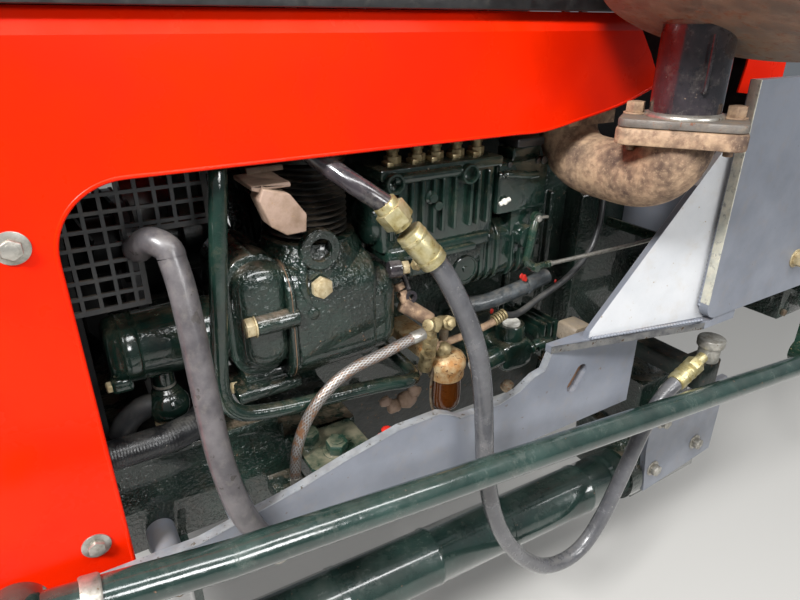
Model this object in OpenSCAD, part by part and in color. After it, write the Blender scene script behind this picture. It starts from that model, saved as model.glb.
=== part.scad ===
/* [Clutch housing] */
// Length of the clutch housing, gearbox joint to engine
housing_len = 300; // [280:5:340]
// Half width of the housing
housing_half = 170; // [165:1:180]
// Height of the housing's top above the crank axis
housing_top = 230; // [215:5:240]
// Depth of the housing's floor below the crank axis
housing_low = 260; // [240:5:270]
// Radius of the round joint flanges
flange_r = 215; // [205:1:225]
// Thickness of the joint flanges
flange_t = 18; // [14:1:24]
// Bolt circle of the gearbox joint
gearbox_pcd = 390; // [380:2:400]
// Bolt holes in the gearbox joint
gearbox_bolts = 8; // [6:1:12]
// Radius of a gearbox bolt hole
gearbox_hole_r = 7; // [5:0.5:8]
// Radius of the input shaft's pilot bore
pilot_r = 40; // [30:1:60]
// Depth of the pilot bore
pilot_depth = 60; // [40:5:100]

/* [Engine] */
// Length of the cylinder block
block_len = 600; // [560:5:640]
// Half width of the cylinder block
block_half = 130; // [124:1:134]
// Height of the block's deck above the crank axis
deck_z = 260; // [250:5:270]
// Depth of the block's sump joint
block_low = 100; // [90:5:110]
// Height of the cylinder head
head_h = 140; // [130:5:145]
// Height of the rocker cover
cover_h = 70; // [60:5:74]
// Depth of the oil sump below the block
sump_h = 150; // [130:5:170]
// Thickness of the timing cover
timing_t = 55; // [45:1:60]
// Height of the fan axis above the crank axis
fan_z = 190; // [180:1:200]
// Radius of the fan's blade tips
fan_r = 172; // [150:1:176]
// Number of fan blades
fan_blades = 6; // [4:1:8]
// Radius of the crank pulley
crank_r = 75; // [65:1:85]
// Radius of the fan pulley
fan_pulley_r = 60; // [50:1:66]
// Radius of the alternator pulley
alt_pulley_r = 38; // [34:1:42]
// Width of the pulleys
pulley_w = 24; // [22:1:28]
// Width of the vee belt
belt_w = 13; // [10:1:14]
// Sideways distance of the alternator from the fan axis
alt_off = 190; // [184:1:200]
// Radial running clearance of a shaft in its bore
running_fit = 0.05; // [0.02:0.01:0.1]

/* [Compressor] */
// Distance of the compressor's rear end ahead of the clutch housing
comp_back = 442; // [436:1:448]
// Length of the compressor's crankcase
comp_len = 230; // [222:1:236]
// Radius of the crankcase
comp_r = 78; // [74:1:80]
// Height of the crankcase's axis
comp_z = 134; // [130:1:138]
// Radius of the cylinder's fins
fin_r = 52; // [46:1:56]
// Number of cooling fins
fins = 6; // [4:1:7]
// Length of the steering pump in front of the crankcase
pump_cyl_len = 152; // [140:1:156]
// Radius of the steering pump
pump_cyl_r = 42; // [38:1:46]

/* [Injection pump] */
// Distance of the pump body's rear end ahead of the clutch housing
inj_back = 293; // [285:1:310]
// Spacing of the pump's elements
element_pitch = 33; // [32:0.5:33]
// Number of pump elements
elements = 4; // [4:1:4]
// Length of the pump body
inj_len = 190; // [185:1:196]
// Height of the pump's foot above the crank axis
inj_foot = 186; // [180:1:190]
// Height of the pump body
inj_h = 128; // [120:1:134]
// Depth of the pump body, front to back
inj_depth = 76; // [70:1:80]
// Length of the governor behind the pump
gov_len = 98; // [90:1:99]

/* [Exhaust] */
// Radius of the cast exhaust elbow
elbow_r = 43; // [40:1:45]
// Distance of the elbow's plane ahead of the clutch housing
elbow_ahead = 150; // [144:1:158]
// Height of the joint between elbow and pipe
stack_joint_z = 362; // [355:1:370]
// Thickness of an exhaust flange
exhaust_flange_t = 14; // [10:1:18]
// Side of the square exhaust flanges
exhaust_flange_w = 132; // [124:2:140]
// Radius of the silencer
silencer_r = 165; // [150:1:168]
// Length of the silencer's drum
silencer_len = 300; // [220:10:400]
// Lean of the silencer to the rear, degrees
silencer_lean = 20; // [15:1:22]

/* [Bonnet] */
// Half width over the side panels
panel_half = 325; // [322:1:330]
// Thickness of the panels
panel_t = 3; // [2:0.5:4]
// Length from the bulkhead to the nose
panel_len = 1410; // [1390:5:1430]
// Height of the panels' top edge
panel_top = 494; // [490:1:500]
// Height of the crease where the panel turns inwards
crease_z = 472; // [468:1:478]
// Height of the engine bay opening's top edge
bay_top = 352; // [345:1:358]
// Depth of the panels' bottom edge
panel_low = 98; // [90:1:105]
// Length of the engine bay opening, from the bulkhead
bay_len = 1133; // [1120:1:1145]
// Corner radius of the engine bay opening
bay_r = 70; // [50:1:90]
// Crown of the bonnet above the panels
bonnet_rise = 72; // [60:1:90]
// Shut line between the bonnet and the nose
nose_gap = 3; // [2:0.5:5]
// Length of the nose
nose_len = 70; // [50:5:100]
// Radius of a headlamp
lamp_r = 72; // [60:1:78]

/* [Front support] */
// Half width over the front support
support_half = 265; // [262:1:268]
// Depth of the front support's beams
support_h = 140; // [130:1:150]
// Gap from the front support's front end to the panels' front end
support_gap = 35; // [30:5:45]
// Width of one beam
beam_w = 50; // [45:1:55]
// Radius of the front axle's pivot bore
axle_bore_r = 32; // [28:1:36]

/* [Loader frame] */
// Thickness of the loader rails
rail_t = 12; // [10:1:14]
// Outer face of the rails from the centre line
rail_face = 357; // [355:1:360]
// Outer face of the towers from the centre line
tower_face = 430; // [424:1:434]
// Thickness of the tower plate
tower_t = 16; // [14:1:20]
// Height of the tower's top
tower_top = 410; // [400:1:440]
// Radius of the loader pin's hole
loader_pin_r = 20; // [16:0.5:25]

/* [Steering and drive] */
// Radius of the drag link
link_r = 18; // [16:0.5:18]
// Distance of the drag link from the centre line
link_y = 448; // [447:1:452]
// Length of the pitman arm
pitman_len = 141; // [130:1:150]
// Radius of the drive shaft's guard tube
guard_r = 48; // [44:1:50]
// Radius of the drive shaft
drive_r = 20; // [16:1:24]
// Slope of the drive shaft, degrees
drive_slope = 2.8; // [2:0.1:3.2]
// Bolt circle of the drive flange
drive_pcd = 80; // [76:1:84]

/* [Hoses] */
// Radius of the hydraulic hose
hyd_r = 13; // [11:0.5:14]
// Radius of the grey breather hose
grey_r = 14; // [12:0.5:15]
// Radius of the braided fuel hose
braid_r = 8; // [6:0.5:9]
// Radius of the lower water hose
water_r = 18; // [16:0.5:19]
// Radius of the steel water pipe
steel_r = 10; // [8:0.5:11]

/* [Hidden] */
$fn = 48;
// Gap between pieces of different bodies, and between panels
gap = 0.5;
// Gap between a hose's end and its fitting
hose_gap = 0.3;
// Allowance that takes a cut clear of a face
cut = 1;

// Stations along the tractor
eng0 = housing_len;
eng1 = eng0 + block_len;
timing_x1 = eng1 + timing_t;
pulley_x = timing_x1 + 95;
fan_x = pulley_x + pulley_w + 40;
panel_x0 = 20;
panel_x1 = panel_x0 + panel_len;
bay_x1 = panel_x0 + bay_len;
radiator_x0 = fan_x + 76;
radiator_t = 62;

// Heights of the engine's joints, and of the lamps
lamp_z = panel_top - 40;
head_top = deck_z + head_h;
cover_top = head_top + cover_h;
sump_low = block_low + sump_h;

// Left side of the engine
comp_x0 = eng0 + comp_back;
comp_x1 = comp_x0 + comp_len;
comp_y = block_half + comp_r + 4;
comp_cyl_x = comp_x0 + 120;
pump_cyl_z = comp_z - 9;
comp_seat_z = comp_z + comp_r + 20;
fin_pitch = 14;
inj_x0 = eng0 + inj_back;
inj_y1 = block_half + 147;
inj_y0 = inj_y1 - inj_depth;
inj_top = inj_foot + inj_h;

// Exhaust
elbow_x = eng0 + elbow_ahead;
elbow_y0 = 256;
elbow_y1 = 446;
pipe_top = 448;
manifold_y = block_half + 62;
manifold_z = 376;
manifold_r = 32;
outlet_low = stack_joint_z - exhaust_flange_t;

// Front support
support_x0 = eng1 + 45;
support_x1 = panel_x1 - support_gap;
axle_z = -190;

// Loader frame
rail_y0 = rail_face - rail_t;
rail_low = -137;
base_z = 20;
base_t = 12;
tower_x0 = -100;
tower_x1 = 268;
tower_z0 = base_z + base_t + 6;
tower_y0 = tower_face - tower_t;

// Steering
pitman_x = -150;
pitman_z = -10;
link_rear_z = pitman_z - pitman_len;
link_slope = 6.05;
link_bend_x = 1065;
link_front_x = 1250;
link_bend_z = link_rear_z + (link_bend_x - pitman_x) * tan(link_slope);
link_front_slope = 9.5;

// Drive shaft: the guard's rear end, from which the tube rises forwards
guard_x0 = 251;
guard_z0 = -382;
guard_y = 300;
guard_len = 900;

// Hoses, routes chosen by hand: x, y, z
hyd_route = [[772, 370, 227], [757, 376, 207], [739, 385, 168], [722, 391, 125], [708, 395, 75],
    [699, 396, 20], [693, 396, -35], [688, 396, -90], [678, 396, -145], [664, 396, -200],
    [643, 396, -255], [612, 396, -310], [573, 396, -360], [527, 396, -398], [474, 396, -412],
    [430, 396, -397], [396, 396, -355], [370, 396, -300], [348, 396, -245], [326, 396, -190],
    [302, 396, -145], [275, 396, -117], [245, 396, -100]];
grey_route = [[1052, 308, 262], [1049, 318, 232], [1048, 330, 190], [1048, 342, 145], [1048, 354, 100],
    [1047, 364, 55], [1043, 371, 15], [1036, 374, -25], [1024, 374, -62], [1008, 374, -95]];
braid_route = [[756, 325, 98], [788, 325, 92], [819, 326, 86], [856, 326, 79], [885, 326, 66],
    [910, 325, 44], [927, 321, 15], [937, 313, -22], [940, 303, -66], [940, 303, -94]];
water_route = [[1190, 276, 25], [1150, 276, 25], [1110, 276, 25], [1078, 274, 25], [1048, 262, 25],
    [1026, 236, 26], [1013, 205, 27], [1006, 170, 28], [999, 138, 30], [991, 108, 30], [978, 88, 30], [959, 88, 30]];
steel_route = [[892, 100, 350], [920, 100, 350], [958, 140, 360], [976, 205, 370], [983, 260, 366],
    [990, 290, 342], [1001, 300, 270], [1010, 302, 200], [1018, 303, 130], [1021, 303, 92],
    [1016, 303, 64], [1000, 303, 47], [972, 303, 39], [927, 303, 33], [860, 303, 28], [800, 303, 22],
    [764, 301, 14], [740, 284, 6], [728, 240, 0], [727, 180, 0], [727, 130, 0]];
top_route = [[1001, 0, 304], [1016, 0, 304], [1038, 0, 324], [1054, 0, 352], [1078, 0, 380],
    [1110, 0, 396], [1160, 0, 405], [1190, 0, 405]];
hyd_pipe_route = [[935, 250, 405], [918, 270, 382], [877, 300, 341], [850, 334, 316], [822, 350, 294]];

// Box between two corners
module slab(low, high) {
    translate(low) cube(high - low);
}
// Bar along an axis, from one station to another
module bar_x(r, x0, x1, y, z) {
    translate([x0, y, z]) rotate([0, 90, 0]) cylinder(r = r, h = x1 - x0);
}
module bar_y(r, y0, y1, x, z) {
    translate([x, y1, z]) rotate([90, 0, 0]) cylinder(r = r, h = y1 - y0);
}
module bar_z(r, z0, z1, x, y) {
    translate([x, y, z0]) cylinder(r = r, h = z1 - z0);
}
// Outline in y and z, drawn out along x
module along_x(x0, x1) {
    translate([x0, 0, 0]) rotate([90, 0, 90]) linear_extrude(x1 - x0) children();
}
// Outline in x and z, drawn out along y
module along_y(y0, y1) {
    translate([0, y1, 0]) rotate([90, 0, 0]) linear_extrude(y1 - y0) children();
}
// Rectangle with round corners
module round_rect(low, high, r) {
    for (x = [low[0] + r, high[0] - r], y = [low[1] + r, high[1] - r]) translate([x, y]) circle(r);
    translate([low[0] + r, low[1]]) square([high[0] - low[0] - 2 * r, high[1] - low[1]]);
    translate([low[0], low[1] + r]) square([high[0] - low[0], high[1] - low[1] - 2 * r]);
}
// The tractor's other side
module other_side() {
    mirror([0, 1, 0]) children();
}

// Tube swept along a route, with a square end at each end
function unit(v) = v / norm(v);
function along(route, i) = unit(route[min(i + 1, len(route) - 1)] - route[max(i - 1, 0)]);
function ring(route, r, i, sides, side_dir) =
    let (t = along(route, i), u = unit(cross(t, side_dir)), w = cross(t, u))
    [for (k = [0:sides - 1]) route[i] + r * (cos(360 * k / sides) * u + sin(360 * k / sides) * w)];
module swept(route, r, sides, side_dir) {
    n = len(route);
    points = [for (i = [0:n - 1]) each ring(route, r, i, sides, side_dir)];
    walls = [for (i = [0:n - 2], k = [0:sides - 1])
        let (a = i * sides + k, b = i * sides + (k + 1) % sides)
        each [[a, b + sides, b], [a, a + sides, b + sides]]];
    start = [for (k = [0:sides - 1]) k];
    finish = [for (k = [sides - 1:-1:0]) (n - 1) * sides + k];
    polyhedron(points, concat([start, finish], walls), convexity = 6);
}

// Engine and clutch housing
module clutch_housing() {
    color("#1c3530") difference() {
        union() {
            bar_x(flange_r, 0, flange_t, 0, 0);
            along_x(flange_t, housing_len) polygon([
                [-housing_half, -housing_low + 50], [-housing_half + 50, -housing_low],
                [housing_half - 50, -housing_low], [housing_half, -housing_low + 50],
                [housing_half, housing_top - 40], [housing_half - 60, housing_top],
                [60 - housing_half, housing_top], [-housing_half, housing_top - 40]]);
        }
        bar_x(pilot_r, -cut, pilot_depth, 0, 0);
        for (i = [0:gearbox_bolts - 1]) rotate([180 / gearbox_bolts + i * 360 / gearbox_bolts, 0, 0])
            bar_x(gearbox_hole_r, -cut, flange_t + cut, 0, gearbox_pcd / 2);
    }
}
module engine_block() {
    rib_w = 14;
    color("#16291f") {
        slab([eng0, -block_half, -block_low], [eng1, block_half, deck_z]);
        for (i = [0:1], side = [-1, 1]) translate([eng0 + 40 + i * 95, 0, 0])
            slab([0, min(side * block_half, side * (block_half + 12)), -block_low + 20],
                [rib_w, max(side * block_half, side * (block_half + 12)), deck_z - 60]);
        // Pads that carry the compressor and the injection pump
        slab([comp_x0 + 20, block_half, comp_z - 50], [eng1 - 20, comp_y - comp_r + 12, comp_z + 50]);
        slab([inj_x0 + 10, block_half, inj_foot - 30], [comp_x0 - 6, inj_y0, inj_foot + 20]);
        slab([inj_x0 + 10, block_half, inj_foot - 30], [comp_x0 - 6, inj_y1 - 12, inj_foot]);
    }
}
module oil_sump() {
    color("#16291f") along_x(eng0 + 2, eng1 - 2) polygon([
        [-block_half, -block_low], [-block_half, -block_low - 14], [-block_half + 16, -block_low - 14],
        [-block_half + 30, -sump_low], [block_half - 30, -sump_low],
        [block_half - 16, -block_low - 14], [block_half, -block_low - 14], [block_half, -block_low]]);
}
module cylinder_head() {
    color("#1c3530") {
        slab([eng0 + 8, -block_half, deck_z], [eng1 - 8, block_half, head_top]);
        for (i = [0:elements - 1]) bar_z(11, head_top - 1, head_top + 30, eng0 + 90 + i * 135, block_half - 16);
    }
}
module rocker_cover() {
    color("#1c3530") along_x(eng0 + 40, eng1 - 40) union() {
        round_rect([-75, head_top], [75, cover_top], 26);
        translate([-90, head_top]) square([180, 12]);
    }
    color("#303030") bar_z(24, cover_top - 4, cover_top + 22, eng1 - 120, 0);
}
module timing_cover() {
    nose_r = drive_r + 18;
    color("#1c3530") difference() {
        union() {
            along_x(eng1, timing_x1) polygon([[-block_half, -block_low], [block_half - 8, -block_low],
                [block_half - 8, 150], [70, deck_z + 30], [-70, deck_z + 30], [-block_half, 150]]);
            bar_x(nose_r, timing_x1 - 1, timing_x1 + 12, 0, 0);
            // Inlet pipe for the lower water hose
            bar_x(30, timing_x1 - 1, timing_x1 + 4, block_half - 45, 30);
        }
        bar_x(drive_r + running_fit, eng1 + 10, timing_x1 + 12 + cut, 0, 0);
    }
}
module water_pump() {
    neck_z = fan_z + 62;
    color("#1c3530") difference() {
        union() {
            bar_x(58, timing_x1, timing_x1 + 34, 0, fan_z);
            bar_x(26, timing_x1 + 33, pulley_x - 6, 0, fan_z);
            slab([timing_x1, -24, fan_z], [timing_x1 + 34, 24, neck_z + 80]);
            bar_x(28, timing_x1 + 33, timing_x1 + 46, 0, neck_z + 52);
        }
        bar_x(10 + running_fit, timing_x1 + 6, pulley_x - 6 + cut, 0, fan_z);
    }
}
// Belt pulley with one groove that the belt runs in
module pulley(r, y, z) {
    groove = r - 11;
    bar_x(r, pulley_x, pulley_x + (pulley_w - belt_w) / 2 - gap, y, z);
    bar_x(groove, pulley_x, pulley_x + pulley_w, y, z);
    bar_x(r, pulley_x + (pulley_w + belt_w) / 2 + gap, pulley_x + pulley_w, y, z);
}
module fan() {
    blade_root = 34;
    color("#23272a") {
        pulley(fan_pulley_r, 0, fan_z);
        bar_x(10, timing_x1 + 12, pulley_x + 1, 0, fan_z);
        bar_x(blade_root + 6, pulley_x + pulley_w - 1, fan_x + 26, 0, fan_z);
        for (i = [0:fan_blades - 1]) translate([fan_x + 13, 0, fan_z]) rotate([i * 360 / fan_blades, 0, 0])
            rotate([0, 0, 24]) slab([-1.5, -34, blade_root], [1.5, 34, sqrt(fan_r * fan_r - 34 * 34)]);
    }
}
module crank_pulley() {
    color("#23272a") {
        pulley(crank_r, 0, 0);
        bar_x(drive_r, eng1 + 16, pulley_x + 1, 0, 0);
        bar_x(24, pulley_x + pulley_w - 1, pulley_x + pulley_w + 22, 0, 0);
    }
}
module alternator() {
    color("#9a9c9c") difference() {
        union() {
            bar_x(62, pulley_x - 130, pulley_x - 8, -alt_off, fan_z);
            // Bracket to the block's front corner
            slab([eng1 - 40, -alt_off - 20, fan_z - 78], [pulley_x - 60, -block_half, fan_z - 50]);
            slab([pulley_x - 110, -alt_off - 12, fan_z - 60], [pulley_x - 90, -alt_off + 12, fan_z - 40]);
        }
        bar_x(9 + running_fit, pulley_x - 60, pulley_x - 8 + cut, -alt_off, fan_z);
    }
}
module alternator_pulley() {
    color("#23272a") {
        pulley(alt_pulley_r, -alt_off, fan_z);
        bar_x(9, pulley_x - 55, pulley_x + 1, -alt_off, fan_z);
    }
}
module fan_belt() {
    slack = 11 - gap;
    x0 = pulley_x + (pulley_w - belt_w) / 2;
    color("#1a1a1a") along_x(x0, x0 + belt_w) difference() {
        hull() belt_discs(-slack + 9);
        hull() belt_discs(-slack);
    }
}
module belt_discs(out) {
    for (p = [[crank_r, 0, 0], [fan_pulley_r, 0, fan_z], [alt_pulley_r, -alt_off, fan_z]])
        translate([p[1], p[2]]) circle(p[0] + out, $fn = 64);
}
module starter() {
    y = -block_half - 66;
    color("#23272a") {
        bar_x(48, eng0 + 6, eng0 + 190, y, -20);
        bar_x(56, eng0, eng0 + 7, y, -20);
        bar_x(24, eng0 + 20, eng0 + 150, y - 8, 46);
        slab([eng0 + 60, y - 14, 10], [eng0 + 90, y + 4, 40]);
        slab([eng0 + 100, y, -50], [eng0 + 130, -block_half, 10]);
    }
}
module air_cleaner() {
    z = deck_z + 57;
    can_y = -block_half - 122;
    color("#1c3530") slab([eng0 + 120, -block_half - 62, deck_z + 30], [eng1 - 100, -block_half, deck_z + 84]);
    color("#303030") {
        bar_y(30, can_y, -block_half - 61, eng0 + 300, z);
        bar_x(58, eng0 + 230, eng0 + 520, can_y, z);
        bar_x(62, eng0 + 500, eng0 + 530, can_y, z);
    }
}

// Left side of the engine
module compressor_case() {
    lug_z = comp_z + comp_r + 14;
    lug_y = comp_y + fin_r + 9;
    body_x0 = comp_x0 + 57;
    front_x0 = comp_x1 - 50;
    color("#16291f") difference() {
        union() {
            // Rear cover, lower than the crankcase to clear the injection pump
            along_x(body_x0 - 33, body_x0 + 1) translate([comp_y, comp_z])
                round_rect([-comp_r + 12, -comp_r + 6], [comp_r - 4, comp_r - 40], 30);
            along_x(body_x0, front_x0) translate([comp_y, comp_z])
                round_rect([-comp_r + 12, -comp_r], [comp_r, comp_r], 46);
            // Front bearing housing
            along_x(front_x0 - 1, comp_x1) translate([comp_y, comp_z])
                round_rect([-comp_r + 12, -comp_r + 20], [comp_r - 20, comp_r + 2], 52);
            bar_x(13, front_x0 - 9, comp_x1 - 3, comp_y + comp_r - 12, comp_z + 22);
            // Foot
            slab([body_x0 + 20, comp_y - comp_r + 12, comp_z - comp_r - 14],
                [comp_x1, comp_y + 40, comp_z - comp_r + 20]);
            // Seat of the cylinder, and the lifting eye beside it
            bar_z(fin_r + 8, comp_z + comp_r - 30, comp_seat_z, comp_cyl_x, comp_y);
            slab([comp_cyl_x - 14, lug_y - 6, comp_z + comp_r - 50], [comp_cyl_x + 26, lug_y + 6, lug_z]);
            bar_y(25, lug_y - 6, lug_y + 6, comp_cyl_x + 8, lug_z);
        }
        bar_y(13, lug_y - 6 - cut, lug_y + 6 + cut, comp_cyl_x + 8, lug_z);
    }
}
module compressor_cylinder() {
    color("#23272a") {
        bar_z(fin_r - 14, comp_seat_z, comp_seat_z + (fins + 1) * fin_pitch, comp_cyl_x, comp_y);
        for (i = [0:fins - 1]) bar_z(fin_r, comp_seat_z + 6 + i * fin_pitch, comp_seat_z + 11 + i * fin_pitch,
            comp_cyl_x, comp_y);
    }
}
module compressor_head() {
    z0 = comp_seat_z + (fins + 1) * fin_pitch;
    color("#1c3530") {
        bar_z(fin_r + 2, z0, z0 + 30, comp_cyl_x, comp_y);
        bar_x(14, comp_cyl_x + 30, comp_cyl_x + fin_r + 24, comp_y, z0 + 15);
    }
}
module intake_cap() {
    // Box-shaped breather on a bracket in front of the cylinder
    x0 = comp_cyl_x + 52;
    y0 = comp_y + fin_r + 16;
    z0 = comp_seat_z + 40;
    arm_z0 = comp_seat_z + 85;
    arm_z1 = comp_seat_z + 98;
    color("#b59b83") {
        translate([x0, y0, z0]) rotate([0, -32, 0]) along_y(0, 32)
            polygon([[-12, 0], [7, -13], [28, -12], [54, 8], [56, 22], [26, 30], [-3, 18]]);
        // Bracket up to the underside of the compressor's head
        slab([comp_cyl_x + 54, comp_y + fin_r - 24, arm_z0], [x0 + 46, y0 + 24, arm_z0 + 6]);
        slab([comp_cyl_x + 54, comp_y + fin_r - 24, arm_z0 + 5], [comp_cyl_x + 84, comp_y + fin_r - 18, arm_z1]);
        slab([comp_cyl_x + 40, comp_y + fin_r - 24, arm_z1 - 7], [comp_cyl_x + 56, comp_y + fin_r - 18, arm_z1]);
    }
}
module steering_pump() {
    x1 = comp_x1 + pump_cyl_len;
    elbow_px = x1 - 60;
    color("#16291f") {
        bar_x(pump_cyl_r + 8, comp_x1, comp_x1 + 12, comp_y, pump_cyl_z);
        bar_x(pump_cyl_r, comp_x1 + 11, x1 - 10, comp_y, pump_cyl_z);
        bar_x(pump_cyl_r + 3, x1 - 12, x1, comp_y, pump_cyl_z);
        bar_z(17, pump_cyl_z - pump_cyl_r - 34, pump_cyl_z - pump_cyl_r + 12, elbow_px, comp_y);
        translate([elbow_px, comp_y, pump_cyl_z - pump_cyl_r - 42]) sphere(25);
        bar_x(16, elbow_px, elbow_px + 44, comp_y, pump_cyl_z - pump_cyl_r - 42);
        bar_z(15, pump_cyl_z - pump_cyl_r - 80, pump_cyl_z - pump_cyl_r - 50, elbow_px, comp_y);
    }
}
module injection_pump() {
    x1 = inj_x0 + inj_len;
    first = inj_x0 + 18;
    seat_y = (inj_y0 + inj_y1) / 2;
    color("#16291f") {
        slab([inj_x0, inj_y0, inj_foot + 22], [x1, inj_y1 - 8, inj_top - 10]);
        slab([inj_x0, inj_y0 + 6, inj_top - 11], [x1, inj_y1, inj_top]);
        slab([inj_x0 + 2, inj_y0, inj_foot + 20], [x1 - 2, inj_y1 - 2, inj_foot + 34]);
        slab([inj_x0 + 10, inj_y0 + 1, inj_foot], [x1 - 10, inj_y1 - 14, inj_foot + 23]);
        // Upright ribs between the elements
        for (i = [0:elements]) slab([first + (i - 0.5) * element_pitch, inj_y1 - 10, inj_foot + 50],
            [first + (i - 0.5) * element_pitch + 7, inj_y1 - 1, inj_top - 10]);
        for (x = [inj_x0 + 28, x1 - 30]) bar_y(15, inj_y1 - 9, inj_y1 + 3, x, inj_top - 16);
        bar_x(34, x1 - 1, x1 + 14, seat_y - 8, inj_foot + 52);
    }
    color("#8a7a52") for (i = [0:elements - 1]) {
        bar_z(11, inj_top - 1, inj_top + 12, first + 12 + i * element_pitch, seat_y);
        bar_z(8, inj_top + 11, inj_top + 26, first + 12 + i * element_pitch, seat_y);
    }
}
module governor() {
    x0 = inj_x0 - gov_len;
    seat_y = (inj_y0 + inj_y1) / 2;
    lever_x = inj_x0 - 33;
    lever_z = inj_foot - 2;
    rod_z = lever_z - 53;
    color("#16291f") {
        along_x(x0, inj_x0) translate([seat_y - 6, inj_foot + 66]) round_rect([-46, -110], [42, 56], 24);
        slab([x0 + 20, block_half, inj_foot], [x0 + 60, inj_y0 + 20, inj_foot + 30]);
    }
    color("#4a5254") {
        bar_y(20, inj_y1 - 4, inj_y1 + 2, lever_x, lever_z);
        bar_y(8, inj_y1 - 4, inj_y1 + 16, lever_x, lever_z);
        translate([lever_x, inj_y1 + 6, lever_z]) rotate([0, 230, 0]) slab([-8, 0, -10], [8, 6, 80]);
        // Throttle rod and the bracket that guides it
        bar_x(4, eng0 - 82, lever_x - 40, inj_y1 + 9, rod_z);
        slab([eng0 - 82, housing_half, rod_z - 9], [eng0 - 76, inj_y1 + 18, rod_z + 9]);
    }
}
module injection_pipes() {
    seat_y = (inj_y0 + inj_y1) / 2;
    color("#8a8d8c") for (i = [0:elements - 1]) {
        x = inj_x0 + 30 + i * element_pitch;
        hx = eng0 + 90 + i * 135;
        swept([[x, seat_y, inj_top + 26], [x, seat_y, 390], [x - 4, seat_y - 4, 424], [x - 14, seat_y - 22, 444],
            [(x + hx) / 2, seat_y - 64, 452], [hx + 12, block_half + 18, 448],
            [hx, block_half - 14, 440], [hx, block_half - 16, head_top + 30]], 3.2, 8, [1, 0.2, 0.1]);
    }
}
module fuel_filter() {
    x = eng0 + 382;
    y = block_half + 155;
    color("#b9a458") {
        bar_z(26, -12, -6, x, y);
        bar_z(30, -6, 34, x, y);
        slab([x - 22, block_half, 2], [x + 22, y - 20, 26]);
        for (p = [[26, -12], [4, -22]]) {
            bar_z(7, 33, 92, x + p[0], y + p[1]);
            bar_z(13, 62, 82, x + p[0], y + p[1]);
        }
        bar_y(6, y - 13, y + 40, x + 36, 92);
        slab([x + 24, y - 14, 80], [x + 42, y + 4, 92]);
    }
    color("#c98a3a") {
        bar_z(24, -66, -11, x, y);
        bar_z(17, -78, -65, x, y);
    }
}
module oil_filter() {
    x0 = eng0 + 182;
    color("#1c3530") {
        slab([x0, block_half, -64], [x0 + 100, block_half + 90, 8]);
        slab([x0 + 10, block_half + 88, -54], [x0 + 78, block_half + 150, -2]);
        bar_z(25, -14, 22, x0 + 42, block_half + 118);
        bar_x(17, x0 + 77, x0 + 122, block_half + 134, -24);
    }
    color("#c8c4b8") bar_z(27, 21, 28, x0 + 42, block_half + 118);
}

// Exhaust
module exhaust_manifold() {
    color("#6a4a36") {
        bar_x(manifold_r, elbow_x + 40, eng1 - 96, manifold_y, manifold_z);
        for (i = [0:elements - 1]) bar_y(24, block_half, manifold_y, eng0 + 165 + i * 105, manifold_z);
        // Outlet that stands out over the elbow
        slab([elbow_x - 46, manifold_y - 20, outlet_low], [elbow_x + 46, elbow_y0 + 46, manifold_z + 30]);
    }
}
module exhaust_flange(z0) {
    half = exhaust_flange_w / 2;
    translate([elbow_x, 0, z0]) linear_extrude(exhaust_flange_t) round_rect([-half, -half], [half, half], 20);
}
module exhaust_elbow() {
    // Two quarter bends joined by a level run
    bend_r = 52;
    bend_z = stack_joint_z - exhaust_flange_t;
    color("#8a6a4a") {
        translate([elbow_x, elbow_y1 - bend_r, bend_z]) rotate([90, 0, 90])
            rotate_extrude(angle = -90) translate([bend_r, 0]) circle(elbow_r);
        translate([elbow_x, elbow_y0 + bend_r, bend_z]) rotate([90, 0, 90])
            rotate([0, 0, 180]) rotate_extrude(angle = 90) translate([bend_r, 0]) circle(elbow_r);
        bar_y(elbow_r, elbow_y0 + bend_r - 0.1, elbow_y1 - bend_r + 0.1, elbow_x, bend_z - bend_r);
        translate([0, elbow_y1, 0]) exhaust_flange(stack_joint_z - exhaust_flange_t);
    }
}
module exhaust_pipe() {
    color("#7a7d80") translate([0, elbow_y1, 0]) exhaust_flange(stack_joint_z);
    color("#1c1c1e") bar_z(elbow_r - 2, stack_joint_z + exhaust_flange_t - 1, pipe_top, elbow_x, elbow_y1);
}
module silencer() {
    rim = 8;
    offset_y = 56;
    offset_x = 40;
    drum_low = 485;
    color("#5a4636") translate([elbow_x, elbow_y1, 0]) {
        translate([offset_x, offset_y, drum_low]) rotate([0, -silencer_lean, 0]) {
            difference() {
                union() {
                    cylinder(r1 = silencer_r - 30, r2 = silencer_r - 4, h = 26);
                    translate([0, 0, 24]) cylinder(r = silencer_r, h = rim);
                    translate([0, 0, 24]) cylinder(r = silencer_r - 4, h = silencer_len);
                    translate([0, 0, 16 + silencer_len]) cylinder(r = silencer_r, h = rim);
                    translate([0, 0, 23 + silencer_len]) cylinder(r1 = silencer_r - 4, r2 = elbow_r, h = 30);
                    translate([0, 0, 50 + silencer_len]) cylinder(r = elbow_r - 6, h = 120);
                }
                translate([0, 0, 60 + silencer_len]) cylinder(r = elbow_r - 10, h = 120);
            }
        }
        bar_z(elbow_r - 2, pipe_top, drum_low, 0, 0);
    }
}

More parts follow.
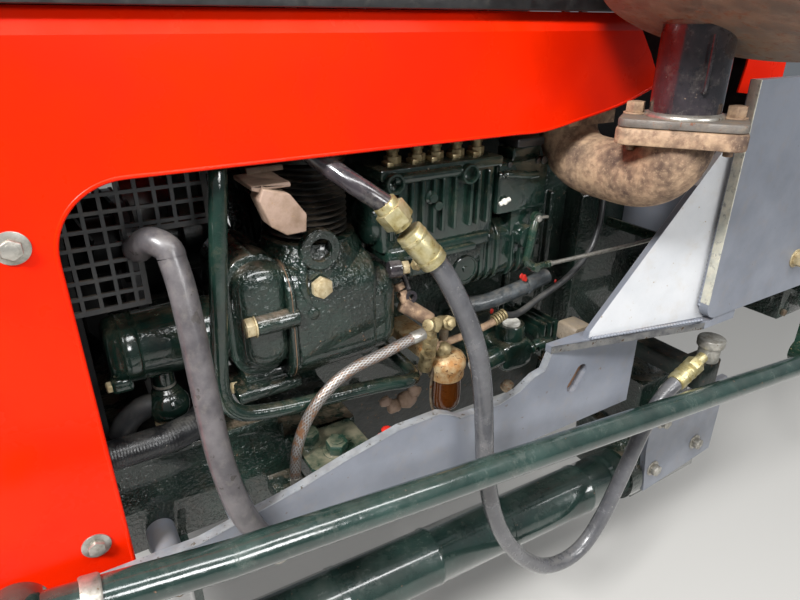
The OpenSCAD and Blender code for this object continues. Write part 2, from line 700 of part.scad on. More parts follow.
// Cooling
module radiator() {
    half = 215;
    core_x = radiator_x0 + 8;
    color("#1d2022") {
        slab([core_x, -half, 46], [core_x + radiator_t - 16, half, 396]);
        slab([radiator_x0, -half - 8, 395], [radiator_x0 + radiator_t, half + 8, 456]);
        slab([radiator_x0, -half - 8, 0], [radiator_x0 + radiator_t, half + 8, 47]);
        for (side = [-1, 1]) slab([radiator_x0, side * (half + 4) - 6, 0], [radiator_x0 + radiator_t, side * (half + 4) + 6, 400]);
        bar_x(27, radiator_x0, radiator_x0 + 8, 0, 405);
        // Outlet at the lower left corner
        slab([radiator_x0, half, 7], [radiator_x0 + 30, 296, 40]);
    }
}
module fan_shroud() {
    x1 = radiator_x0;
    color("#23272a") difference() {
        slab([x1 - 46, -212, fan_z - fan_r - 14], [x1, 212, 377]);
        bar_x(fan_r + 10, x1 - 46 - cut, x1 + cut, 0, fan_z);
        slab([x1 - 40, -206, fan_z - fan_r - 8], [x1 + cut, 206, 373]);
    }
}
module screen() {
    // L-shaped mesh guard between radiator and engine
    pitch = 18;
    bar = 4;
    y = 256;
    x0 = 995;
    step_x = 1073;
    x1 = radiator_x0 - 6;
    color("#2e3030") {
        for (x = [x0:pitch:x1]) slab([x, y - 2, x < step_x ? 277 : 195], [x + bar, y + 2, 432]);
        for (z = [195:pitch:430]) slab([z < 277 ? step_x : x0, y - 2, z], [x1 + 4, y + 2, z + bar]);
        slab([step_x, y - 2, 195], [x1 + 10, y + 2, 201]);
        slab([x0, y - 2, 277], [step_x + 6, y + 2, 283]);
        slab([x0, y - 2, 430], [x1 + 10, y + 2, 436]);
        slab([step_x, y - 2, 195], [step_x + 6, y + 2, 283]);
        slab([x0, y - 2, 277], [x0 + 6, y + 2, 436]);
        // Upright that is fixed to the radiator's side
        slab([x1 + 4, 225, 195], [radiator_x0 + 4, y + 2, 436]);
    }
}
module water_hoses() {
    color("#26282a") {
        swept(water_route, water_r, 10, [0, 0.1, 1]);
        swept(top_route, 24, 12, [0, 1, 0]);
    }
}
module steel_pipe() {
    color("#1c3530") swept(steel_route, steel_r, 10, [0.3, 0.6, 1]);
}

// Front support and radiator frame
module front_support() {
    ear_x0 = comp_x0 + 88;
    pivot_x0 = radiator_x0 - 10;
    color("#1c3530") difference() {
        union() {
            for (side = [0, 1]) mirror([0, side, 0]) {
                slab([support_x0, support_half - beam_w, -support_h], [support_x1, support_half, 0]);
                slab([ear_x0, block_half, -support_h], [support_x0 + 1, support_half, -44]);
                slab([support_x0 - 6, block_half + 8, -support_h], [support_x0 + 20, support_half, -14]);
            }
            slab([support_x0 + 165, -support_half, -24], [support_x1, support_half, 0]);
            slab([support_x1 - 60, -support_half, -support_h], [support_x1, support_half, 0]);
            // Tube of the front axle's pivot
            bar_x(axle_bore_r + 24, pivot_x0, support_x1, 0, axle_z);
            slab([pivot_x0 + 10, -38, axle_z], [support_x1, 38, -20]);
            // Ledge for the hose fitting
            slab([support_x0 - 22, 266 - 2, -118], [support_x0 + 24, 312, -94]);
            slab([support_x0 - 6, 264, -118], [support_x0 + 24, 312, -94]);
        }
        bar_x(axle_bore_r, pivot_x0 - cut, support_x1 + cut, 0, axle_z);
    }
}
module panel_posts() {
    x0 = panel_x0 + bay_len + 12;
    y1 = panel_half - panel_t;
    color("#1d2022") {
        for (side = [0, 1]) mirror([0, side, 0]) {
            difference() {
                slab([x0, y1 - 24, 0], [x0 + 36, y1, 456]);
                slab([x0 - cut, y1 - 28, -cut], [x0 + 32, y1 - 4, 456 + cut]);
            }
            slab([x0, support_half - 30, 0], [x0 + 36, y1, 6]);
            slab([x0, y1 - 6, -80], [x0 + 36, y1, 1]);
            slab([x0 + 32, 223, 410], [x0 + 36, y1 - 2, 450]);
        }
    }
}

// Bonnet, side panels and nose
module panel_sheet(x0, x1) {
    lean = 14;
    along_x(x0, x1) polygon([[panel_half - panel_t, -panel_low], [panel_half, -panel_low],
        [panel_half, crease_z], [panel_half - lean, panel_top],
        [panel_half - lean - panel_t, panel_top], [panel_half - panel_t, crease_z]]);
}
module bay_outline() {
    // Engine bay opening, open to the rear and below
    translate([panel_x0 - cut, -panel_low - cut]) square([bay_len + cut - bay_r, bay_top + panel_low + cut]);
    translate([panel_x0 - cut, -panel_low - cut]) square([bay_len + cut, bay_top + panel_low + cut - bay_r]);
    translate([bay_x1 - bay_r, bay_top - bay_r]) circle(bay_r);
}
module side_panel(notched) {
    color("#f0280a") difference() {
        panel_sheet(panel_x0, panel_x1 - gap);
        along_y(panel_half - 40, panel_half + cut) {
            bay_outline();
            // The lower edge rises towards the exhaust
            if (notched) polygon([[elbow_x + 114, bay_top - cut], [elbow_x - 30, bay_top + 25],
                [elbow_x - 100, bay_top + 47], [elbow_x - 98, bay_top + 60], [elbow_x - 76, bay_top + 90],
                [elbow_x - 42, bay_top + 130], [elbow_x - 320, bay_top + 130], [elbow_x - 316, bay_top + 66],
                [elbow_x - 308, bay_top + 26], [elbow_x - 470, bay_top + 10], [elbow_x - 470, bay_top - cut]]);
        }
    }
    color("#f0280a") {
        // Rolled flange along the opening's front edge
        difference() {
            slab([bay_x1, panel_half - 16, -panel_low], [bay_x1 + panel_t, panel_half - cut, bay_top - bay_r]);
        }
    }
}
module bonnet_top() {
    t = 4;
    x0 = panel_x0 + 6;
    crown_y = panel_half - 70;
    hinge_y = 180;
    under_z = panel_top + 60 - t + (bonnet_rise - 60) * (1 - hinge_y / crown_y);
    color("#f0280a") along_x(x0, panel_x1 - nose_gap) polygon([
        [-panel_half, panel_top + 2], [-panel_half + 6, panel_top + 34], [-panel_half + 70, panel_top + 60],
        [0, panel_top + bonnet_rise], [panel_half - 70, panel_top + 60], [panel_half - 6, panel_top + 34],
        [panel_half, panel_top + 2], [panel_half - t, panel_top + 2], [panel_half - 10, panel_top + 31],
        [panel_half - 71, panel_top + 60 - t], [0, panel_top + bonnet_rise - t],
        [-panel_half + 71, panel_top + 60 - t], [-panel_half + 10, panel_top + 31], [-panel_half + t, panel_top + 2]]);
    color("#1d2022") difference() {
        for (side = [-1, 1]) translate([0, side * hinge_y, 0]) {
            bar_y(9, -20, 20, x0 - 10, panel_top + 44);
            slab([x0 - 12, -20, panel_top + 40], [x0 + 8, 20, panel_top + 50]);
            slab([x0, -20, panel_top + 42], [x0 + 8, 20, under_z + 2]);
        }
        bar_y(5 + running_fit, -panel_half, panel_half, x0 - 10, panel_top + 44);
    }
}
module bulkhead() {
    y1 = panel_half - panel_t;
    hinge_x = panel_x0 - 4;
    color("#1d2022") {
        slab([panel_x0, -y1, housing_top], [panel_x0 + 4, y1, crease_z]);
        slab([panel_x0 - 26, -150, housing_top], [panel_x0, 150, housing_top + 4]);
        for (side = [-1, 1]) translate([0, side * 180, 0]) {
            for (end = [-1, 1]) slab([hinge_x - 10, end * 27 - 5, crease_z - 40], [hinge_x + 8, end * 27 + 5, panel_top + 52]);
            bar_y(5, -31, 31, hinge_x, panel_top + 44);
        }
    }
}
module nose() {
    x1 = panel_x1 + nose_len;
    low = [-panel_half, -panel_low];
    color("#f0280a") {
        difference() {
            along_x(panel_x1, x1) round_rect(low, [panel_half, panel_top + bonnet_rise - 14], 60);
            along_x(panel_x1 - cut, x1 - 8) round_rect([-panel_half + 6, -panel_low + 6], [panel_half - 6, panel_top + 50], 56);
            along_x(panel_x1, x1 + cut) round_rect([-panel_half + 60, -panel_low + 60], [panel_half - 60, panel_top - 110], 30);
            for (side = [-1, 1]) bar_x(lamp_r + 2, panel_x1, x1 + cut, side * (panel_half - 110), lamp_z);
        }
        // Feet on the front support
        for (side = [-1, 1]) slab([panel_x1 - 45, side * 200 - 20, 0], [panel_x1 + 10, side * 200 + 20, 5]);
        for (side = [-1, 1]) slab([panel_x1 + 4, side * 200 - 20, -panel_low + 2], [panel_x1 + 10, side * 200 + 20, 5]);
    }
}
module grille() {
    x0 = panel_x1 + nose_len - 20;
    y1 = panel_half - 46;
    color("#2e3030") {
        for (i = [0:11]) slab([x0, -y1, -panel_low + 52 + i * 36], [x0 + 5, y1, -panel_low + 60 + i * 36]);
        for (side = [-1, 0, 1]) slab([x0 + 3, side * (y1 - 6) - 6, -panel_low + 46], [x0 + 12, side * (y1 - 6) + 6, panel_top - 100]);
    }
}
module headlamps() {
    x1 = panel_x1 + nose_len;
    color("#c8ccd0") for (side = [-1, 1]) {
        bar_x(lamp_r, x1 - 40, x1 + 2, side * (panel_half - 110), lamp_z);
        bar_x(lamp_r + 8, x1 - 24, x1 - 8, side * (panel_half - 110), lamp_z);
    }
}

// Loader frame
module rail() {
    spacer_r = 18;
    color("#8c8e95") {
        difference() {
            along_y(rail_y0, rail_face) polygon([[1300, rail_low], [1300, -74], [1159, -75], [1082, -77],
                [955, -54], [891, -37], [807, -19], [742, -18], [724, -26], [706, -38], [670, -41], [632, -41],
                [593, -31], [565, -14], [545, -10], [532, base_z], [330, base_z], [330, rail_low]]);
            // Slotted hole
            along_y(rail_y0 - cut, rail_face + cut) {
                translate([462, -34]) circle(12);
                translate([478, -58]) circle(12);
                polygon([[452, -40], [472, -28], [488, -52], [468, -64]]);
            }
        }
        for (x = [support_x0 + 70, support_x0 + 170]) bar_y(spacer_r, support_half, rail_y0 + 1, x, rail_low + spacer_r + 2);
    }
}
module tower() {
    gusset_tip = [473, 366];
    gusset_end = [222, 416];
    gusset_len = norm(gusset_tip - gusset_end);
    gusset_turn = atan2(gusset_tip[1] - gusset_end[1], gusset_tip[0] - gusset_end[0]);
    color("#8c8e95") difference() {
        union() {
            // Outer plate with a rounded lower front corner
            along_y(tower_y0, tower_face) difference() {
                translate([tower_x0, tower_z0]) square([tower_x1 - tower_x0, tower_top - tower_z0]);
                translate([tower_x1 - 26, tower_z0 - cut]) difference() {
                    square([27, 27]);
                    translate([0, 27]) circle(26);
                }
            }
            // Base plate on the rail
            translate([0, 0, base_z]) linear_extrude(base_t) polygon([[537, rail_y0], [537, rail_face],
                [262, tower_y0 - 6], [262, tower_face - 2], [180, tower_face - 2], [180, rail_y0]]);
            slab([180, tower_y0, base_z + base_t - 1], [242, tower_face - 2, tower_z0 + 1]);
            // Gusset between base plate and outer plate
            translate([gusset_end[0], gusset_end[1], base_z + base_t - 1]) rotate([0, 0, gusset_turn])
                along_y(-10, 0) polygon([[0, 0], [gusset_len, 0], [gusset_len - 4, 12], [46, 296], [34, 302], [0, 302]]);
            // Arm to the clutch housing
            slab([20, housing_half, 110], [180, tower_y0 + 1, 210]);
            // Boss of the loader pin
            bar_y(loader_pin_r + 20, tower_y0, tower_face + 16, tower_x0 + 60, tower_top - 60);
        }
        bar_y(loader_pin_r, tower_y0 - cut, tower_face + 16 + cut, tower_x0 + 60, tower_top - 60);
    }
}

// Drive to the front axle
module drive_line() {
    // Stands a shape on the guard's rear end, along the sloping shaft
    translate([guard_x0, guard_y, guard_z0]) rotate([0, 90 - drive_slope, 0]) children();
}
module drop_box() {
    face = 338;
    color("#1c3530") {
        slab([20, housing_half, -430], [guard_x0 - 24, face, -300]);
        slab([40, housing_half, -301], [guard_x0 - 50, 300, -180]);
        drive_line() translate([0, 0, -30]) cylinder(r = guard_r + 6, h = 30);
    }
}
module lower_plate() {
    color("#8c8e95") along_y(338, 338 + rail_t) polygon([[-10, -200], [-10, -389], [205, -414], [225, -300], [225, -200]]);
}
module drive_guard() {
    hanger_x = guard_x0 + guard_len - 67;
    hanger_y = 225;
    color("#1c3530") difference() {
        union() {
            drive_line() {
                cylinder(r = guard_r, h = guard_len);
                for (z = [100, 460]) translate([0, 0, z]) cylinder(r = guard_r + 1.5, h = 10);
            }
            // Hanger with its foot under the front support
            slab([hanger_x, hanger_y, guard_z0 + 41], [hanger_x + 12, guard_y + 20, -support_h]);
            slab([hanger_x, hanger_y, -support_h - 10], [hanger_x + 50, support_half, -support_h]);
        }
        drive_line() {
            translate([0, 0, -cut]) cylinder(r = drive_r + running_fit, h = guard_len + 2 * cut);
            translate([0, 0, 24]) cylinder(r = guard_r - 5, h = guard_len - 48);
        }
    }
}
module drive_shaft() {
    color("#4a4d50") drive_line() difference() {
        union() {
            translate([0, 0, 6]) cylinder(r = drive_r, h = guard_len + 20);
            translate([0, 0, guard_len + 8]) cylinder(r = 52, h = 14);
        }
        for (i = [0:3]) rotate([0, 0, i * 90]) translate([drive_pcd / 2, 0, guard_len]) cylinder(r = 5, h = 40);
    }
}

// Steering
module steering_box() {
    x0 = pitman_x - 60;
    color("#16291f") difference() {
        union() {
            slab([x0, 236, pitman_z - 60], [pitman_x + 70, 380, pitman_z + 62]);
            bar_y(44, 379, 396, pitman_x, pitman_z);
            // Plate that stands clear of the gearbox flange, and its pad on the clutch housing
            slab([x0, flange_r + 7, pitman_z - 50], [130, 237, pitman_z + 50]);
            slab([flange_t + 12, housing_half, pitman_z - 50], [130, flange_r + 8, pitman_z + 50]);
        }
        bar_y(18 + running_fit, 330, 396 + cut, pitman_x, pitman_z);
    }
}
module pitman_arm() {
    y0 = 400;
    color("#16291f") difference() {
        union() {
            bar_y(18, 335, y0 + 1, pitman_x, pitman_z);
            bar_y(30, y0, y0 + 24, pitman_x, pitman_z);
            bar_y(24, y0, y0 + 24, pitman_x, link_rear_z);
            slab([pitman_x - 20, y0 + 4, link_rear_z], [pitman_x + 20, y0 + 20, pitman_z]);
        }
        bar_y(11 + running_fit, y0 - cut, y0 + 24 + cut, pitman_x, link_rear_z);
    }
}
module drag_link() {
    rear_len = (link_bend_x - pitman_x) / cos(link_slope);
    front_len = (link_front_x - link_bend_x) / cos(link_front_slope);
    front_z = link_bend_z + front_len * sin(link_front_slope);
    eye_r = link_r + 8;
    eye_half = link_r + 2;
    sleeve_half = 9;
    end_gap = 3;
    color("#1f3f36") difference() {
        union() {
            translate([pitman_x, link_y, link_rear_z]) rotate([0, 90 - link_slope, 0])
                cylinder(r = link_r, h = rear_len - end_gap);
            // Sleeve that joins the two lengths of tube at the bend
            translate([link_bend_x, link_y, link_bend_z])
                rotate([0, 90 - (link_slope + link_front_slope) / 2, 0])
                    translate([0, 0, -sleeve_half]) cylinder(r = link_r + 2, h = 2 * sleeve_half);
            translate([link_bend_x, link_y, link_bend_z]) rotate([0, 90 - link_front_slope, 0])
                translate([0, 0, end_gap]) cylinder(r = link_r, h = front_len - end_gap);
            for (p = [[pitman_x, link_rear_z], [link_front_x, front_z]])
                bar_y(eye_r, link_y - eye_half, link_y + eye_half, p[0], p[1]);
            // Stud that turns in the pitman arm
            bar_y(11, 398, link_y, pitman_x, link_rear_z);
        }
        bar_y(9, link_y - eye_half - cut, link_y + eye_half + cut, link_front_x, front_z);
    }
}

// Hoses and their fittings
module hydraulic_fittings() {
    pressure_end();
    return_end();
}
module pressure_end() {
    n = len(hyd_pipe_route);
    first = hyd_pipe_route[0];
    last = hyd_pipe_route[n - 1];
    start = hyd_route[0];
    color("#23272a") {
        swept(hyd_pipe_route, 12, 12, [0.2, 1, 0.4]);
        // Bracket on the cylinder head that holds the pipe's upper end
        slab([eng1 - 60, block_half - 24, head_top], [first[0] + 16, first[1] + 12, head_top + 8]);
        slab([first[0] - 16, first[1] - 16, head_top - 8], [first[0] + 16, first[1] + 12, head_top + 18]);
    }
    color("#b9a458") {
        fitting(last, start, 0, 0.3, 17, 6);
        fitting(last, start, 0.3, 0.42, 13, 24);
        fitting(last, start, 0.42, 0.996, 17.5, 24);
    }
}
// Round or six-sided length of a fitting between two points
module fitting(from, to, start, end, r, sides) {
    dir = to - from;
    l = norm(dir);
    translate(from) rotate([0, acos(dir[2] / l), atan2(dir[1], dir[0])])
        translate([0, 0, start * l]) cylinder(r = r, h = (end - start) * l, $fn = sides);
}
module return_end() {
    // Ferrule and nut in line with the hose, then the banjo on its block
    last = hyd_route[len(hyd_route) - 1];
    dir = unit(last - hyd_route[len(hyd_route) - 2]);
    nut = last + 44 * dir;
    tail = last + 62 * dir;
    banjo = [170, 396, -64];
    color("#b9a458") {
        fitting(last + hose_gap * dir, nut, 0, 1, 16.5, 24);
        fitting(nut, tail, 0, 1, 17, 6);
        fitting(tail - dir, banjo, 0, 1, 10, 24);
    }
    color("#8a8d8c") {
        bar_z(19, banjo[2] - 18, banjo[2] + 12, banjo[0], banjo[1]);
        bar_z(24, banjo[2] + 11, banjo[2] + 28, banjo[0], banjo[1]);
    }
    color("#3a2f28") {
        slab([banjo[0] - 30, 362, -140], [banjo[0] + 26, 408, banjo[2] - 17]);
        slab([banjo[0] - 25, housing_half, -138], [banjo[0] + 20, 363, -100]);
    }
}
module hydraulic_hose() {
    color("#26282a") swept(hyd_route, hyd_r, 10, [0.15, 1, 0.1]);
}
module grey_hose() {
    color("#7a736d") swept(grey_route, grey_r, 10, [1, 0.2, 0]);
}
module braided_hose() {
    color("#9a9a98") swept(braid_route, braid_r, 8, [0.1, 1, 0.1]);
}
module grey_hose_ends() {
    // Moulded elbow through the screen's edge, and the fitting at the rail
    top = grey_route[0];
    low = grey_route[len(grey_route) - 1];
    top_dir = unit(grey_route[1] - top);
    low_dir = unit(low - grey_route[len(grey_route) - 2]);
    ball = low + 26 * low_dir;
    color("#5a5652") {
        swept([[1087, 264, 268], [1087, 272, 269], [1081, 283, 278], [1072, 293, 284], [1060, 302, 279], top - 8 * top_dir,
            top - hose_gap * top_dir],
            grey_r + 1, 10, [0.5, 0.2, 1]);
        bar_y(grey_r + 3, 258, 270, 1087, 268);
    }
    color("#8a8d8c") {
        fitting(low + hose_gap * low_dir, ball, 0, 1, grey_r + 1, 24);
        translate(ball) sphere(16);
        bar_y(10, rail_face, ball[1], ball[0], ball[2]);
    }
}

clutch_housing();
engine_block();
oil_sump();
cylinder_head();
rocker_cover();
timing_cover();
water_pump();
fan();
crank_pulley();
alternator();
alternator_pulley();
fan_belt();
starter();
compressor_case();
compressor_cylinder();
compressor_head();
intake_cap();
steering_pump();
injection_pump();
governor();
injection_pipes();
fuel_filter();
oil_filter();
exhaust_manifold();
exhaust_elbow();
exhaust_pipe();
silencer();
air_cleaner();
radiator();
fan_shroud();
screen();  // screen_left
other_side() screen();  // screen_right
water_hoses();
steel_pipe();
front_support();
bonnet_top();
side_panel(true);  // side_panel_left
other_side() side_panel(false);  // side_panel_right
nose();
grille();
headlamps();
bulkhead();
panel_posts();
rail();  // rail_left
other_side() rail();  // rail_right
tower();  // tower_left
other_side() tower();  // tower_right
drop_box();
lower_plate();
drive_guard();
drive_shaft();
steering_box();
pitman_arm();
drag_link();
hydraulic_fittings();
hydraulic_hose();
grey_hose();
grey_hose_ends();
braided_hose();
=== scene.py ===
import math
import bpy
import bmesh
from mathutils import Matrix, Vector


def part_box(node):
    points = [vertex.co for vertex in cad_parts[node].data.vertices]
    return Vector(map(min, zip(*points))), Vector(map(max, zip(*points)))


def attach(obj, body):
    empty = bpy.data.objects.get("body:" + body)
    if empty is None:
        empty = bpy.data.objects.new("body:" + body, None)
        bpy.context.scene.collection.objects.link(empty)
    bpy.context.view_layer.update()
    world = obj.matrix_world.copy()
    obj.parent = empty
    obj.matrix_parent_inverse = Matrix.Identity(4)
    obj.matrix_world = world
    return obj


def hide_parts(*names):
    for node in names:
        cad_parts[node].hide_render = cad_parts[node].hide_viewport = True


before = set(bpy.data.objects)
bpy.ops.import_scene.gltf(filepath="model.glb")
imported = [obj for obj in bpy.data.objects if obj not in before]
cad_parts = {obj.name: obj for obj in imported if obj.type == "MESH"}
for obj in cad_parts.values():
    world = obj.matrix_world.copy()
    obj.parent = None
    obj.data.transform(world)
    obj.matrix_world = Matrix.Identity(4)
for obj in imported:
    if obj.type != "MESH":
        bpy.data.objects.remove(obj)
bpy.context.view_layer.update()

# Directions of the part's own frame, and its two sides with their sign along Y
forward, back, left, right, up, down = (1, 0, 0), (-1, 0, 0), (0, 1, 0), (0, -1, 0), (0, 0, 1), (0, 0, -1)
bothSides = (("Left", 1), ("Right", -1))
cosOfHexagon = math.cos(math.pi / 6)


# Shapes: each adds to a bmesh, with places and sizes in millimetres of the part's own frame

def mm(*values):
    # Millimetres to metres
    return Vector(values) / 1000


def turnTo(axis, place):
    # Matrix that lays local Z along axis, at a place in metres
    return Matrix.Translation(place) @ Vector(axis).to_track_quat("Z", "Y").to_matrix().to_4x4()


def onCircle(radius, degrees, first=0.0, second=0.0):
    # Point of a circle round (first, second)
    turn = math.radians(degrees)
    return first + radius * math.cos(turn), second + radius * math.sin(turn)


def edgesOf(made):
    return {e for v in made["verts"] for e in v.link_edges}


def edgesAlong(made, axis):
    # Edges of a new cube that run along one axis
    return {e for e in edgesOf(made) if abs((e.verts[0].co - e.verts[1].co).normalized()[axis]) > 0.9}


def bevelEdges(bm, edges, offset, segments=2):
    bmesh.ops.bevel(bm, geom=list(edges), offset=offset / 1000, affect="EDGES", segments=segments,
                    profile=0.5, material=-1, clamp_overlap=True)


def bar(bm, start, end, radius, sides=32, bevel=0.0, endRadius=None):
    # Closed round or many-sided bar between two points
    start, end = mm(*start), mm(*end)
    made = bmesh.ops.create_cone(
        bm, cap_ends=True, segments=sides, radius1=radius / 1000,
        radius2=(radius if endRadius is None else endRadius) / 1000, depth=(end - start).length,
        matrix=turnTo(end - start, (start + end) / 2))
    if bevel:
        bevelEdges(bm, {e for e in edgesOf(made) if len(e.link_faces) == 2 and e.calc_face_angle(0) > 0.9}, bevel)


def cube(bm, low, high, turn=Matrix()):
    low, high = mm(*low), mm(*high)
    matrix = turn @ Matrix.Translation((low + high) / 2) @ Matrix.Diagonal((*(high - low), 1))
    return bmesh.ops.create_cube(bm, size=1, matrix=matrix)


def box(bm, low, high, bevel=0.0):
    # Box between two corners, with rounded edges
    made = cube(bm, low, high)
    if bevel:
        bevelEdges(bm, edgesOf(made), bevel)


def block(bm, low, high, along, corner, edge, steps=5):
    # Cast block: its four edges along one axis (0 X, 1 Y, 2 Z) rounded widely, then the rims of its ends
    old = set(bm.faces)
    bevelEdges(bm, edgesAlong(cube(bm, low, high), along), corner, steps)
    if edge:
        rims = {e for f in bm.faces if f not in old and abs(f.normal[along]) > 0.9 for e in f.edges}
        bevelEdges(bm, rims, edge, max(2, steps - 2))


def turned(bm, profile, place, axis, steps=40, ring=False):
    # Turned part: a profile of (radius, height) spun about an axis; ring closes the profile
    points = [bm.verts.new((r / 1000, 0, h / 1000)) for r, h in profile]
    pairs = list(zip(points, points[1:])) + ([(points[-1], points[0])] if ring else [])
    lines = [bm.edges.new(pair) for pair in pairs]
    old = set(bm.verts) - set(points)
    bmesh.ops.spin(bm, geom=points + lines, cent=(0, 0, 0), axis=(0, 0, 1), angle=2 * math.pi, steps=steps,
                   use_merge=True)
    made = [v for v in bm.verts if v not in old]
    bmesh.ops.transform(bm, matrix=turnTo(axis, mm(*place)), verts=made)
    bmesh.ops.remove_doubles(bm, verts=made, dist=1e-5)


def hoop(bm, profile, place, axis, steps=40):
    turned(bm, profile, place, axis, steps, ring=True)


def bolt(bm, seat, axis, acrossFlats, height, washer=0.0):
    # Bolt head with a chamfered top on an optional washer
    axis, seat = Vector(axis).normalized(), Vector(seat)
    if washer:
        bar(bm, seat, seat + axis * 2, washer / 2, bevel=0.5)
        seat = seat + axis * 1.9
    radius = acrossFlats / 2 / cosOfHexagon
    top = seat + axis * height
    bar(bm, seat, top, radius, 6, 1.1)
    bar(bm, top - axis * 0.4, top + axis * 0.5, radius * 0.62, 20, 0.3)


def ball(bm, place, radius, around=32, rings=20, stretch=(1, 1, 1)):
    matrix = Matrix.Translation(mm(*place)) @ Matrix.Diagonal((*stretch, 1))
    bmesh.ops.create_uvsphere(bm, u_segments=around, v_segments=rings, radius=radius / 1000, matrix=matrix)


def lump(bm, place, radius, stretch):
    matrix = Matrix.Translation(mm(*place)) @ Matrix.Diagonal((*stretch, 1))
    bmesh.ops.create_icosphere(bm, subdivisions=3, radius=radius / 1000, matrix=matrix)


def smoothRoute(points, step=6.0):
    # Catmull-Rom curve in metres through points, sampled about every step millimetres
    points = [mm(*p) for p in points]
    ends = [2 * points[0] - points[1]] + points + [2 * points[-1] - points[-2]]
    route = [points[0]]
    for a, b, c, d in zip(ends, ends[1:], ends[2:], ends[3:]):
        count = max(1, round((c - b).length / (step / 1000)))
        for i in range(1, count + 1):
            t = i / count
            route.append(0.5 * (2 * b + (c - a) * t + (2 * a - 5 * b + 4 * c - d) * t * t
                                + (3 * b - a - 3 * c + d) * t ** 3))
    return route


def tube(bm, points, radius, sides=16, step=6.0, radiusAt=None):
    # Sweeps circles along a smooth route and bridges each to the next, with UVs in metres along the tube
    route = smoothRoute(points, step)
    uvLayer = bm.loops.layers.uv.verify()
    side = Vector(up) if abs((route[1] - route[0]).normalized().z) < 0.9 else Vector(forward)
    rings, along, spot = [], 0.0, {}
    for i, place in enumerate(route):
        ahead = (route[min(i + 1, len(route) - 1)] - route[max(i - 1, 0)]).normalized()
        side = (side - ahead * side.dot(ahead)).normalized()
        turn = Matrix((side, ahead.cross(side), ahead)).transposed().to_4x4()
        if i:
            along += (place - route[i - 1]).length
        r = radius if radiusAt is None else radiusAt(along * 1000)
        verts = bmesh.ops.create_circle(bm, cap_ends=False, segments=sides, radius=r / 1000,
                                        matrix=Matrix.Translation(place) @ turn)["verts"]
        spot.update({v: (k / sides, along) for k, v in enumerate(verts)})
        rings.append(verts)
    for low, high in zip(rings, rings[1:]):
        for k in range(sides):
            n = (k + 1) % sides
            for loop in bm.faces.new((low[k], low[n], high[n], high[k])).loops:
                u, w = spot[loop.vert]
                loop[uvLayer].uv = (1.0 if n == 0 and u == 0.0 else u, w)
    bm.faces.new(list(reversed(rings[0])))
    bm.faces.new(rings[-1])
    for face in bm.faces:
        face.normal_update()


def rippled(radius, depth, pitch):
    # Radius that waves along a tube, for a weld bead or a wrapped hose
    return lambda along: radius + depth * math.cos(along * 2 * math.pi / pitch)


def newPiece(name, bm, finish, smooth=40, body="root", slot=None, replaces=None):
    # Turns a bmesh into an object that rides on a body; its slot argument is not used
    mesh = bpy.data.meshes.new(name)
    bmesh.ops.remove_doubles(bm, verts=bm.verts, dist=1e-6)
    bmesh.ops.recalc_face_normals(bm, faces=bm.faces)
    bm.to_mesh(mesh)
    bm.free()
    piece = bpy.data.objects.new(name, mesh)
    bpy.context.scene.collection.objects.link(piece)
    mesh.materials.append(bpy.data.materials[finish])
    mesh.shade_smooth()
    mesh.set_sharp_from_angle(angle=math.radians(smooth))
    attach(piece, body)
    if replaces:
        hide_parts(replaces)
    return piece


def makePiece(name, finish, *shapes, **settings):
    # A piece from rows, each a shape's function and its values
    bm = bmesh.new()
    for shape, *values in shapes:
        shape(bm, *values)
    return newPiece(name, bm, finish, **settings)


def softenedCopy(node, radius, finish, segments=2, body="root"):
    # The CAD solid with its edges rounded, as a casting or pressed sheet has them
    bm = bmesh.new()
    bm.from_mesh(bpy.data.objects[node].data)
    bmesh.ops.remove_doubles(bm, verts=bm.verts, dist=2e-5)
    bmesh.ops.dissolve_limit(bm, angle_limit=math.radians(1.5), verts=bm.verts, edges=bm.edges)
    edges = [e for e in bm.edges if len(e.link_faces) == 2 and math.degrees(e.calc_face_angle(0)) > 32
             and e.calc_length() > radius / 400]
    bevelEdges(bm, edges, radius, segments)
    newPiece(node + ".soft", bm, finish, body=body, replaces=node)


# Camera at the photograph's viewing angle

viewSettings = {"place": (1.150, 0.925, 0.480), "pitch": 65.3, "heading": 148.9, "lens": 27, "sensor": 36}
cameraData = bpy.data.cameras.new("camera")
cameraData.lens = viewSettings["lens"]
cameraData.sensor_width = viewSettings["sensor"]
cameraData.clip_start = 0.01
camera = bpy.data.objects.new("camera", cameraData)
camera.location = viewSettings["place"]
camera.rotation_euler = (math.radians(viewSettings["pitch"]), 0, math.radians(viewSettings["heading"]))
bpy.context.scene.collection.objects.link(camera)
bpy.context.scene.camera = camera


# Materials: each starts from the real surface, then takes its wear, dust and relief in real millimetres

def linearOf(hexColour):
    # sRGB hex value to the linear colour that a shader takes
    channels = [int(hexColour[i:i + 2], 16) / 255 for i in (1, 3, 5)]
    return [c / 12.92 if c <= 0.04045 else ((c + 0.055) / 1.055) ** 2.4 for c in channels] + [1.0]


def addNode(tree, kind, out, links=None, **settings):
    # Adds one node, sets its properties, then its inputs from values or from other nodes' sockets
    node = tree.nodes.new("ShaderNode" + kind)
    for key, value in settings.items():
        setattr(node, key, value)
    for key, value in (links or {}).items():
        if isinstance(value, bpy.types.NodeSocket):
            tree.links.new(value, node.inputs[key])
        else:
            node.inputs[key].default_value = value
    return node.outputs[out]


def newMaterial(name, **inputs):
    # Material whose shader takes constants directly; an underscore stands for a space in an input's name
    material = bpy.data.materials.new(name)
    material.use_nodes = True
    shader = material.node_tree.nodes["Principled BSDF"]
    for key, value in inputs.items():
        shader.inputs[key.replace("_", " ")].default_value = value
    return material.node_tree, shader


